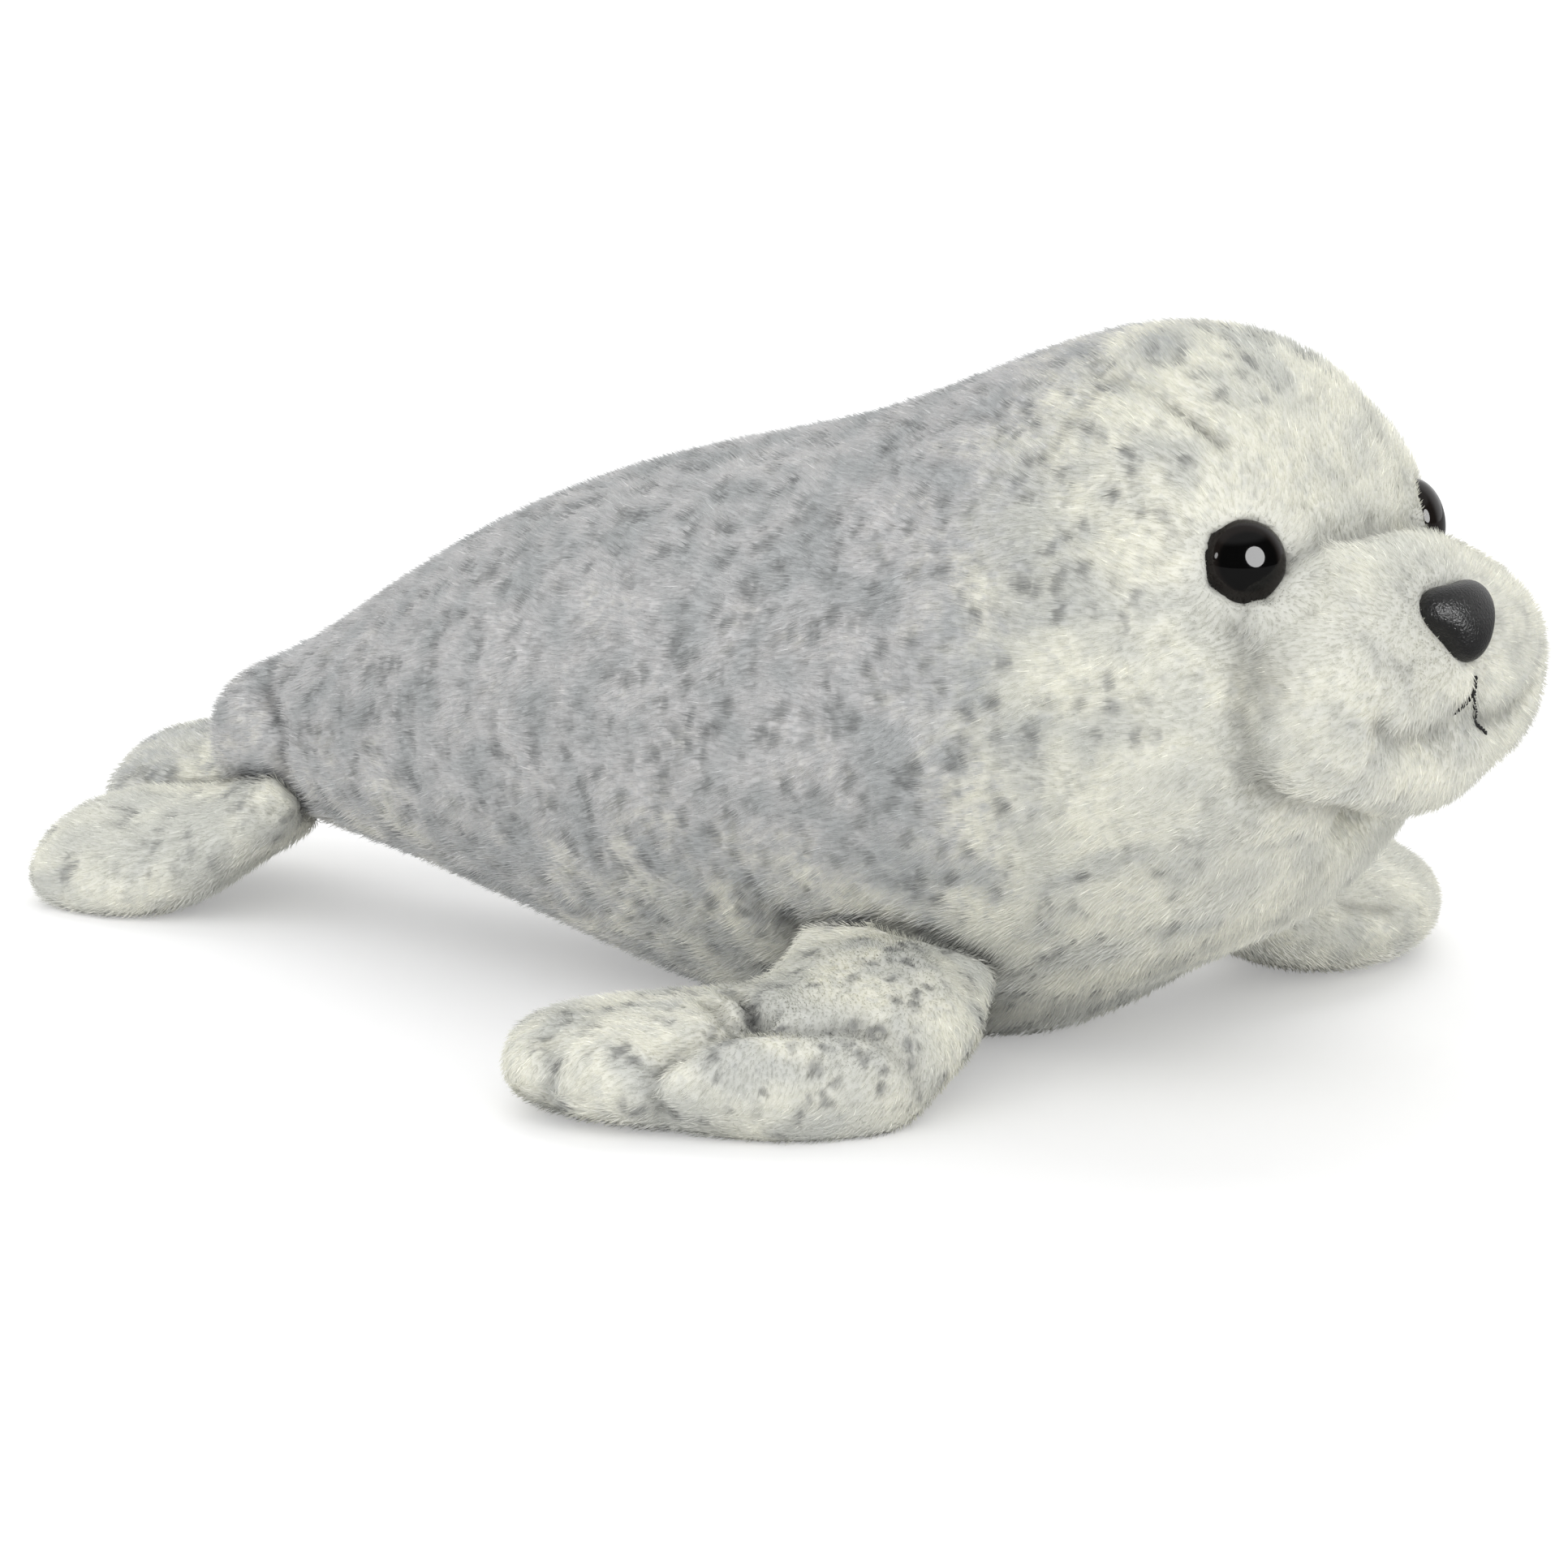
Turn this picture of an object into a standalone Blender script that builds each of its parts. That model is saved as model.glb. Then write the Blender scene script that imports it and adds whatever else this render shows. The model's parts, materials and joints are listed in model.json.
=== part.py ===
"""A plush seal lying on its belly, built as its sewn, stuffed and moulded pieces.

The seal looks along +X, its left side is +Y and the floor is z = 0. The origin is on the floor,
under the middle of its bounding box. Units are metres.
"""

import math
from dataclasses import dataclass

import bmesh
import bpy
from mathutils import Matrix, Vector
from mathutils.bvhtree import BVHTree

# Overall sizes of the head and trunk
TRUNK_LENGTH = 0.330
CROWN_HEIGHT = 0.159
TRUNK_WIDTH = 0.136
TRUNK_FRONT = 0.170
TRUNK_SIDES = 12
FORM_LEVELS = 2

# Muzzle, a padded bulge set into the face, placed from the foremost ring of the trunk
MUZZLE_LENGTH = 0.054
MUZZLE_WIDTH = 0.088
MUZZLE_HEIGHT = 0.059
MUZZLE_INSET = 0.0150
MUZZLE_RISE = 0.0023
MUZZLE_TILT = math.radians(10.0)
BULGE_FULLNESS = 0.80

# Cheek pads, one on each side of the nose, placed from the middle of the muzzle
PAD_LENGTH = 0.052
PAD_WIDTH = 0.048
PAD_HEIGHT = 0.052
PAD_FORWARD = 0.0020
PAD_OUT = 0.0225
PAD_DROP = 0.0050

# Chin, a smaller bulge under the mouth, placed from the middle of the muzzle
CHIN_LENGTH = 0.042
CHIN_WIDTH = 0.050
CHIN_HEIGHT = 0.026
CHIN_FORWARD = 0.0060
CHIN_DROP = 0.0190

# Front flippers; a root is placed from the front of the trunk and from its side
FRONT_LENGTH = 0.1270
FRONT_WIDTH = 0.060
FRONT_THICKNESS = 0.027
FRONT_ROOT_BACK = 0.109
FRONT_ROOT_SUNK = 0.032
FRONT_ROOT_HEIGHT = 0.033
FRONT_BEND = (0.36, 0.62)
RIGHT_FRONT_HEADINGS = (57.0, 146.0)
LEFT_FRONT_HEADINGS = (53.0, 127.0)

# Hind flippers; a root is placed from the end of the trunk, and from its middle height there
HIND_LENGTH = 0.0765
HIND_WIDTH = 0.050
HIND_THICKNESS = 0.021
HIND_BEND = (0.1, 0.9)
RIGHT_HIND_ROLL = 19.0
LEFT_HIND_ROLL = -20.0
RIGHT_HIND_LIFT = -0.0027
LEFT_HIND_LIFT = 0.0060
RIGHT_HIND_INSET = 0.036
LEFT_HIND_INSET = 0.0255
RIGHT_HIND_OUT = 0.016
LEFT_HIND_OUT = 0.012
RIGHT_HIND_RISE = -0.014
LEFT_HIND_RISE = -0.003
RIGHT_HIND_HEADINGS = (160.0, 173.0)
LEFT_HIND_HEADINGS = (176.0, 190.0)

# How a flipper comes down to the floor: the share of its length over which it falls, the share
# of its half thickness left under its middle, and how far out its lowered edge bears
FALL_SHARE = 0.55
PRESSED_SHARE = 0.80
EDGE_SHARE = 0.34

# Safety eyes: a dome on a stem, held by a washer inside the head
EYE_DIAMETER = 0.018
EYE_DOME_HEIGHT = 0.0070
EYE_RIM = 0.0012
EYE_RAY_BACK = 0.0545
EYE_RAY_DROP = 0.0485
EYE_YAW = 45.0
EYE_PITCH = 10.0
EYE_SUNK = 0.0040

# Moulded nose on a stem, with its own washer
NOSE_WIDTH = 0.0224
NOSE_HEIGHT = 0.0172
NOSE_DOME_HEIGHT = 0.0070
NOSE_PITCH = 26.5
NOSE_SUNK = 0.0012
NOSE_POINTEDNESS = 0.16
NOSE_RINGS = ((0.96, 0.0), (1.0, 0.10), (0.97, 0.42), (0.78, 0.86), (0.40, 1.10))
NOSE_SIDES = 12

# Stems and washers
STEM_DIAMETER = 0.0048
STEM_LENGTH = 0.0150
STEM_TIP_DIAMETER = 0.0036
STEM_TIP_LENGTH = 0.0038
WASHER_DIAMETER = 0.0140
WASHER_THICKNESS = 0.0020
WASHER_DEPTH = 0.0045

# Mouth thread, an upside-down Y that starts under the nose
THREAD_DIAMETER = 0.0009
MOUTH_UNDER_NOSE = 0.0035
MOUTH_STEM = 0.0050
MOUTH_DROP = 0.0085
MOUTH_CORNER_OUT = 0.0080

# Gap between pieces that touch
GAP = 0.0003

# Cutters and the fineness of round forms
FLOOR_SPAN = 1.0
FLOOR_CUT_DEPTH = 0.020
POCKET_CLEARANCE = 0.020
ROUND_STEPS = 24
DOME_STEPS = 7
BULGE_SIDES = 12
PADDLE_SIDES = 8
THREAD_POINTS = 6

PARTS = "plush_seal"
CUTTERS = "cutters"


@dataclass(frozen=True)
class TrunkRing:
    """One cross-section of the trunk, as shares of its length, crown height and width."""

    along: float
    top: float
    bottom: float
    width: float


TRUNK_RINGS = (
    TrunkRing(0.000, 0.300, 0.180, 0.24),
    TrunkRing(0.030, 0.345, 0.150, 0.33),
    TrunkRing(0.120, 0.460, 0.135, 0.48),
    TrunkRing(0.230, 0.606, 0.100, 0.67),
    TrunkRing(0.350, 0.718, 0.055, 0.84),
    TrunkRing(0.470, 0.786, 0.000, 0.96),
    TrunkRing(0.580, 0.838, -0.025, 1.00),
    TrunkRing(0.680, 0.925, -0.020, 1.00),
    TrunkRing(0.770, 0.985, 0.040, 0.96),
    TrunkRing(0.850, 1.008, 0.120, 0.90),
    TrunkRing(0.905, 0.962, 0.210, 0.83),
    TrunkRing(0.943, 0.865, 0.290, 0.70),
    TrunkRing(0.967, 0.740, 0.420, 0.46),
)
TRUNK_WIDEST = 0.48

# The ring whose middle height the hind flippers are placed from
HIND_RING = TRUNK_RINGS[2]


def clear_scene():
    """Removes every object that the file starts with."""
    for obj in list(bpy.data.objects):
        bpy.data.objects.remove(obj, do_unlink=True)


def collection(name):
    """Returns the collection of this name, linked to the scene."""
    found = bpy.data.collections.get(name)
    if found is None:
        found = bpy.data.collections.new(name)
        bpy.context.scene.collection.children.link(found)
    return found


def material(name, colour, roughness, metallic=0.0):
    """Returns a Principled material with these values."""
    made = bpy.data.materials.new(name)
    made.use_nodes = True
    shader = made.node_tree.nodes["Principled BSDF"]
    shader.inputs["Base Color"].default_value = (*colour, 1.0)
    shader.inputs["Roughness"].default_value = roughness
    shader.inputs["Metallic"].default_value = metallic
    made.diffuse_color = (*colour, 1.0)
    return made


def add_object(name, mesh, group, finish=None):
    """Puts a mesh into the scene as a named object of one collection."""
    obj = bpy.data.objects.new(name, mesh)
    collection(group).objects.link(obj)
    if finish is not None:
        mesh.materials.append(finish)
    if group == CUTTERS:
        obj.hide_render = True
        obj.display_type = "WIRE"
    return obj


def subdivide(obj, levels):
    """Rounds a coarse cage with Subdivision Surface."""
    modifier = obj.modifiers.new("Subdivision", "SUBSURF")
    modifier.levels = levels
    modifier.render_levels = levels


def boolean(obj, cutter, operation="DIFFERENCE"):
    """Cuts or joins with another object, by the exact solver."""
    modifier = obj.modifiers.new(operation.title(), "BOOLEAN")
    modifier.operation = operation
    modifier.solver = "EXACT"
    modifier.object = cutter


def evaluated_mesh(obj):
    """Returns a new mesh of an object as its modifiers leave it."""
    bpy.context.view_layer.update()
    graph = bpy.context.evaluated_depsgraph_get()
    return bpy.data.meshes.new_from_object(obj.evaluated_get(graph), depsgraph=graph)


def loft(name, sections, group, finish=None):
    """Makes a closed cage through rings of points, with a flat cap at each end."""
    shape = bmesh.new()
    rings = [[shape.verts.new(point) for point in section] for section in sections]
    for near, far in zip(rings, rings[1:]):
        for index in range(len(near)):
            following = (index + 1) % len(near)
            shape.faces.new((near[index], near[following], far[following], far[index]))
    shape.faces.new(rings[0])
    shape.faces.new(rings[-1])
    bmesh.ops.recalc_face_normals(shape, faces=shape.faces)
    mesh = bpy.data.meshes.new(name)
    shape.to_mesh(mesh)
    shape.free()
    mesh.shade_smooth()
    return add_object(name, mesh, group, finish)


def turned(name, profile, group, finish=None):
    """Turns a profile of (radius, height) points, top to bottom, about Z with a Screw."""
    mesh = bpy.data.meshes.new(name)
    points = [(radius, 0.0, height) for radius, height in profile]
    mesh.from_pydata(points, [(i, i + 1) for i in range(len(points) - 1)], [])
    obj = add_object(name, mesh, group, finish)
    screw = obj.modifiers.new("Screw", "SCREW")
    screw.steps = ROUND_STEPS
    screw.render_steps = ROUND_STEPS
    screw.use_merge_vertices = True
    screw.merge_threshold = 0.00001
    return obj


def cage_swell(sides):
    """Returns how much larger a ring of control points is than the round that it makes."""
    return 3.0 / (2.0 + math.cos(2.0 * math.pi / sides))


def ring_middle(ring):
    """Returns the height of the widest line of one trunk ring."""
    return CROWN_HEIGHT * (ring.bottom + (ring.top - ring.bottom) * TRUNK_WIDEST)


def muzzle_middle():
    """Returns the middle of the muzzle."""
    height = ring_middle(TRUNK_RINGS[-1]) + MUZZLE_RISE
    return Vector((TRUNK_FRONT - MUZZLE_INSET, 0.0, height))


def trunk_section(ring):
    """Returns the control points of one trunk ring."""
    along = TRUNK_FRONT - TRUNK_LENGTH * (1.0 - ring.along)
    top = CROWN_HEIGHT * ring.top
    bottom = CROWN_HEIGHT * ring.bottom
    middle = ring_middle(ring)
    swell = cage_swell(TRUNK_SIDES)
    points = []
    for index in range(TRUNK_SIDES):
        angle = 2.0 * math.pi * index / TRUNK_SIDES
        across = swell * 0.5 * TRUNK_WIDTH * ring.width * math.cos(angle)
        reach = (top - middle) if math.sin(angle) > 0.0 else (middle - bottom)
        points.append(Vector((along, across, middle + swell * reach * math.sin(angle))))
    return points


def bulge(name, centre, size, tilt):
    """Makes a stuffed bulge: a sphere made fuller, stretched and tilted nose-down."""
    mesh = bpy.data.meshes.new(name)
    shape = bmesh.new()
    bmesh.ops.create_uvsphere(shape, u_segments=BULGE_SIDES, v_segments=BULGE_SIDES // 2, radius=1.0)
    for vert in shape.verts:
        vert.co = Vector([math.copysign(abs(value) ** BULGE_FULLNESS, value) for value in vert.co])
    half = Vector(size) * 0.5 * cage_swell(BULGE_SIDES)
    place = Matrix.Translation(centre) @ Matrix.Rotation(tilt, 4, "Y")
    bmesh.ops.transform(shape, matrix=place @ Matrix.Diagonal((*half, 1.0)), verts=shape.verts)
    shape.to_mesh(mesh)
    shape.free()
    mesh.shade_smooth()
    form = add_object(name, mesh, CUTTERS)
    subdivide(form, 1)
    return form


def build_muzzle():
    """Makes the bulges of the muzzle, cheek pads and chin, which the trunk is joined with."""
    middle = muzzle_middle()
    muzzle_size = (MUZZLE_LENGTH, MUZZLE_WIDTH, MUZZLE_HEIGHT)
    pad_size = (PAD_LENGTH, PAD_WIDTH, PAD_HEIGHT)
    chin_size = (CHIN_LENGTH, CHIN_WIDTH, CHIN_HEIGHT)
    left_pad = middle + Vector((PAD_FORWARD, PAD_OUT, -PAD_DROP))
    right_pad = middle + Vector((PAD_FORWARD, -PAD_OUT, -PAD_DROP))
    chin = middle + Vector((CHIN_FORWARD, 0.0, -CHIN_DROP))
    return (
        bulge("muzzle_form", middle, muzzle_size, MUZZLE_TILT),
        bulge("left_pad_form", left_pad, pad_size, MUZZLE_TILT),
        bulge("right_pad_form", right_pad, pad_size, MUZZLE_TILT),
        bulge("chin_form", chin, chin_size, 0.0),
    )


def floor_block():
    """Makes the block under the floor, which flattens what rests there."""
    mesh = bpy.data.meshes.new("floor_block")
    shape = bmesh.new()
    bmesh.ops.create_cube(shape, size=1.0)
    size = Matrix.Diagonal((FLOOR_SPAN, FLOOR_SPAN, FLOOR_CUT_DEPTH, 1.0))
    place = Matrix.Translation((0.0, 0.0, -0.5 * FLOOR_CUT_DEPTH))
    bmesh.ops.transform(shape, matrix=place @ size, verts=shape.verts)
    shape.to_mesh(mesh)
    shape.free()
    return add_object("floor_block", mesh, CUTTERS)


def build_body(finish, floor):
    """Builds the head and trunk: one sewn shell with its filling."""
    body = loft("body", [trunk_section(ring) for ring in TRUNK_RINGS], PARTS, finish)
    subdivide(body, FORM_LEVELS)
    for form in build_muzzle():
        boolean(body, form, "UNION")
    boolean(body, floor)
    return body


def grown_copy(piece, name):
    """Makes a cutter that is a piece grown by the gap between pieces."""
    cutter = add_object(name, evaluated_mesh(piece), CUTTERS)
    grow = cutter.modifiers.new("Grow", "DISPLACE")
    grow.mid_level = 0.0
    grow.strength = GAP
    return cutter


@dataclass(frozen=True)
class Paddle:
    """A stuffed flipper: its root, sizes and the headings of its root and tip in degrees."""

    name: str
    side: float
    root: tuple
    length: float
    width: float
    thickness: float
    headings: tuple
    roll: float
    lift: float
    bend: tuple
    profile: tuple


FRONT_PROFILE = (
    (0.00, 0.64, 0.90),
    (0.16, 0.74, 0.98),
    (0.34, 0.92, 1.02),
    (0.52, 1.08, 0.98),
    (0.70, 1.08, 0.88),
    (0.86, 0.96, 0.76),
    (0.96, 0.66, 0.60),
    (1.00, 0.30, 0.34),
)
HIND_PROFILE = (
    (0.00, 0.62, 1.10),
    (0.20, 0.72, 1.10),
    (0.42, 0.92, 1.00),
    (0.64, 1.08, 0.92),
    (0.84, 1.00, 0.80),
    (0.95, 0.70, 0.62),
    (1.00, 0.32, 0.34),
)


def eased(value, start, end):
    """Returns 0 before start, 1 after end and a smooth step between them."""
    share = min(max((value - start) / (end - start), 0.0), 1.0)
    return share * share * (3.0 - 2.0 * share)


def paddle_sections(paddle):
    """Returns the rings of a flipper along its bent centre line."""
    swell = cage_swell(PADDLE_SIDES)
    lowered_edge = EDGE_SHARE * paddle.width * math.sin(math.radians(abs(paddle.roll)))
    rest = 0.5 * paddle.thickness * PRESSED_SHARE + lowered_edge + paddle.lift
    spot = Vector((paddle.root[0], paddle.side * paddle.root[1], paddle.root[2]))
    sections = []
    before = 0.0
    for share, wide, thick in paddle.profile:
        turn = eased(share, *paddle.bend)
        heading = math.radians(paddle.headings[0] + turn * (paddle.headings[1] - paddle.headings[0]))
        forward = Vector((math.cos(heading), paddle.side * math.sin(heading), 0.0))
        spot = spot + forward * paddle.length * (share - before)
        before = share
        spot.z = paddle.root[2] + (rest - paddle.root[2]) * eased(share, 0.0, FALL_SHARE)
        inward = Vector((-forward.y, forward.x, 0.0)) * paddle.side
        lift = math.radians(paddle.roll) * eased(share, 0.0, FALL_SHARE)
        across = inward * math.cos(lift) + Vector((0.0, 0.0, math.sin(lift)))
        upright = Vector((0.0, 0.0, math.cos(lift))) - inward * math.sin(lift)
        points = []
        for index in range(PADDLE_SIDES):
            angle = 2.0 * math.pi * index / PADDLE_SIDES
            out = across * 0.5 * paddle.width * wide * math.cos(angle)
            up = upright * 0.5 * paddle.thickness * thick * math.sin(angle)
            points.append(spot + swell * (out + up))
        sections.append(points)
    return sections


def paddles():
    """Returns the four flippers, with their roots placed inside the trunk."""
    front = (FRONT_LENGTH, FRONT_WIDTH, FRONT_THICKNESS)
    hind = (HIND_LENGTH, HIND_WIDTH, HIND_THICKNESS)
    tail_end = TRUNK_FRONT - TRUNK_LENGTH
    tail_level = ring_middle(HIND_RING)
    front_root = (TRUNK_FRONT - FRONT_ROOT_BACK, 0.5 * TRUNK_WIDTH - FRONT_ROOT_SUNK, FRONT_ROOT_HEIGHT)
    right_root = (tail_end + RIGHT_HIND_INSET, RIGHT_HIND_OUT, tail_level + RIGHT_HIND_RISE)
    left_root = (tail_end + LEFT_HIND_INSET, LEFT_HIND_OUT, tail_level + LEFT_HIND_RISE)
    return (
        Paddle("right_front_flipper", -1.0, front_root, *front, RIGHT_FRONT_HEADINGS, 0.0, 0.0,
               FRONT_BEND, FRONT_PROFILE),
        Paddle("left_front_flipper", 1.0, front_root, *front, LEFT_FRONT_HEADINGS, 0.0, 0.0,
               FRONT_BEND, FRONT_PROFILE),
        Paddle("right_hind_flipper", -1.0, right_root, *hind, RIGHT_HIND_HEADINGS, RIGHT_HIND_ROLL,
               RIGHT_HIND_LIFT, HIND_BEND, HIND_PROFILE),
        Paddle("left_hind_flipper", 1.0, left_root, *hind, LEFT_HIND_HEADINGS, LEFT_HIND_ROLL,
               LEFT_HIND_LIFT, HIND_BEND, HIND_PROFILE),
    )


def build_flipper(paddle, finish, body_cutter, floor):
    """Builds one flipper, hollowed at its root to sit against the body."""
    flipper = loft(paddle.name, paddle_sections(paddle), PARTS, finish)
    subdivide(flipper, FORM_LEVELS)
    boolean(flipper, floor)
    boolean(flipper, body_cutter)
    return flipper


def surface_hit(tree, start, direction):
    """Returns where a ray from inside leaves a surface."""
    spot, _normal, _index, distance = tree.ray_cast(start, direction)
    if spot is None:
        raise ValueError("the ray meets no surface")
    return start + direction * distance


def seat_matrix(spot, axis, up):
    """Returns the frame of a fitting: Z along its axis and Y as near to up as it can be."""
    z_axis = axis.normalized()
    x_axis = up.cross(z_axis).normalized()
    y_axis = z_axis.cross(x_axis)
    turn = Matrix((x_axis, y_axis, z_axis)).transposed().to_4x4()
    return Matrix.Translation(spot) @ turn


def stem_profile(start_radius):
    """Returns the profile of a stem below a fitting's back face, ending at its tip."""
    return [
        (start_radius, 0.0),
        (0.5 * STEM_DIAMETER, 0.0),
        (0.5 * STEM_DIAMETER, STEM_TIP_LENGTH - STEM_LENGTH),
        (0.5 * STEM_TIP_DIAMETER, -STEM_LENGTH),
        (0.0, -STEM_LENGTH),
    ]


def pocket_profile(seat_radius):
    """Returns the profile of the room for a fitting: its seat, stem hole and washer chamber."""
    chamber_top = -WASHER_DEPTH + GAP
    chamber_bottom = -WASHER_DEPTH - WASHER_THICKNESS - GAP
    hole = 0.5 * STEM_DIAMETER + GAP
    chamber = 0.5 * WASHER_DIAMETER + GAP
    return [
        (0.0, POCKET_CLEARANCE),
        (seat_radius, POCKET_CLEARANCE),
        (seat_radius, -GAP),
        (hole, -GAP),
        (hole, chamber_top),
        (chamber, chamber_top),
        (chamber, chamber_bottom),
        (hole, chamber_bottom),
        (hole, -STEM_LENGTH - GAP),
        (0.0, -STEM_LENGTH - GAP),
    ]


def build_eye(name, frame, finish):
    """Builds one safety eye: a glossy dome with a short rim, on its stem."""
    radius = 0.5 * EYE_DIAMETER
    rise = EYE_DOME_HEIGHT - EYE_RIM
    dome = []
    for index in range(DOME_STEPS):
        angle = 0.5 * math.pi * index / (DOME_STEPS - 1)
        dome.append((radius * math.sin(angle), EYE_RIM + rise * math.cos(angle)))
    eye = turned(name, dome + stem_profile(radius), PARTS, finish)
    eye.matrix_world = frame
    return eye


def nose_outline(share):
    """Returns one ring of the nose: a rounded triangle, point down."""
    points = []
    for index in range(NOSE_SIDES):
        angle = 2.0 * math.pi * index / NOSE_SIDES
        swell = cage_swell(NOSE_SIDES) * share * (1.0 + NOSE_POINTEDNESS * math.sin(3.0 * angle))
        across = swell * 0.5 * NOSE_WIDTH * math.cos(angle)
        points.append((across, swell * 0.5 * NOSE_HEIGHT * math.sin(angle)))
    return points


def build_nose(frame, finish):
    """Builds the moulded nose: a rounded triangle that domes forward, on its stem."""
    sections = []
    for share, height in NOSE_RINGS:
        sections.append([(x, y, NOSE_DOME_HEIGHT * height) for x, y in nose_outline(share)])
    dome = loft("nose", sections, PARTS, finish)
    subdivide(dome, 1)
    buried = 0.5 * NOSE_DOME_HEIGHT
    head = [(0.0, buried), (0.5 * STEM_DIAMETER, buried)]
    stem = turned("nose_stem", head + stem_profile(0.5 * STEM_DIAMETER)[2:], CUTTERS)
    stem.matrix_world = frame
    dome.matrix_world = frame
    boolean(dome, stem, "UNION")
    return dome


def build_washer(name, frame, finish):
    """Builds a push-on washer that grips a stem inside the head."""
    bore = 0.5 * STEM_DIAMETER + GAP
    outer = 0.5 * WASHER_DIAMETER
    top = -WASHER_DEPTH
    bottom = top - WASHER_THICKNESS
    profile = [(bore, top), (outer, top), (outer, bottom), (bore, bottom), (bore, top)]
    washer = turned(name, profile, PARTS, finish)
    washer.matrix_world = frame
    return washer


def cut_pocket(body, name, frame, seat_radius):
    """Cuts the room for a fitting into the body."""
    cutter = turned(name, pocket_profile(seat_radius), CUTTERS)
    cutter.matrix_world = frame
    boolean(body, cutter)


def thread_run(tree, start, end):
    """Returns points on the muzzle between two places given as (across, height)."""
    lift = 0.5 * THREAD_DIAMETER + GAP
    points = []
    backward = Vector((-1.0, 0.0, 0.0))
    for index in range(THREAD_POINTS):
        share = index / (THREAD_POINTS - 1)
        across = start[0] + (end[0] - start[0]) * share
        height = start[1] + (end[1] - start[1]) * share
        ahead = Vector((TRUNK_LENGTH, across, height))
        spot, normal, _index, _distance = tree.ray_cast(ahead, backward)
        points.append(spot + normal * lift)
    return points


def thread_mesh(name, points):
    """Makes a round thread through points, as a closed mesh."""
    curve = bpy.data.curves.new(name, "CURVE")
    curve.dimensions = "3D"
    curve.bevel_depth = 0.5 * THREAD_DIAMETER
    curve.bevel_resolution = 1
    curve.use_fill_caps = True
    spline = curve.splines.new("POLY")
    spline.points.add(len(points) - 1)
    for point, place in zip(spline.points, points):
        point.co = (*place, 1.0)
    holder = bpy.data.objects.new(name, curve)
    collection(CUTTERS).objects.link(holder)
    mesh = evaluated_mesh(holder)
    bpy.data.objects.remove(holder, do_unlink=True)
    shape = bmesh.new()
    shape.from_mesh(mesh)
    bmesh.ops.remove_doubles(shape, verts=shape.verts, dist=0.00001)
    bmesh.ops.recalc_face_normals(shape, faces=shape.faces)
    shape.to_mesh(mesh)
    shape.free()
    return mesh


def build_mouth(tree, top, finish):
    """Builds the mouth: a stem of thread under the nose that forks to both sides."""
    fork = (0.0, top - MOUTH_STEM)
    stem = thread_mesh("mouth", thread_run(tree, (0.0, top), fork))
    mouth = add_object("mouth_stitch", stem, PARTS, finish)
    for side, name in ((1.0, "mouth_left"), (-1.0, "mouth_right")):
        corner = (side * MOUTH_CORNER_OUT, top - MOUTH_STEM - MOUTH_DROP)
        branch = add_object(name, thread_mesh(name, thread_run(tree, fork, corner)), CUTTERS)
        boolean(mouth, branch, "UNION")
    return mouth


def centre_on_floor():
    """Hangs every object on one empty and moves it so that the seal's box is centred at x = y = 0."""
    lowest = Vector((math.inf, math.inf))
    highest = -lowest
    for obj in collection(PARTS).objects:
        mesh = evaluated_mesh(obj)
        for vert in mesh.vertices:
            place = obj.matrix_world @ vert.co
            lowest = Vector((min(lowest.x, place.x), min(lowest.y, place.y)))
            highest = Vector((max(highest.x, place.x), max(highest.y, place.y)))
        bpy.data.meshes.remove(mesh)
    middle = (lowest + highest) / 2.0
    centre = bpy.data.objects.new("centre", None)
    collection(PARTS).objects.link(centre)
    for group in (PARTS, CUTTERS):
        for obj in collection(group).objects:
            if obj is not centre:
                obj.parent = centre
    centre.location = (-middle.x, -middle.y, 0.0)
    bpy.context.view_layer.update()


def direction(yaw, pitch):
    """Returns the unit vector of a heading and an elevation in degrees."""
    turn, rise = math.radians(yaw), math.radians(pitch)
    return Vector((math.cos(turn) * math.cos(rise), math.sin(turn) * math.cos(rise), math.sin(rise)))


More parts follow.
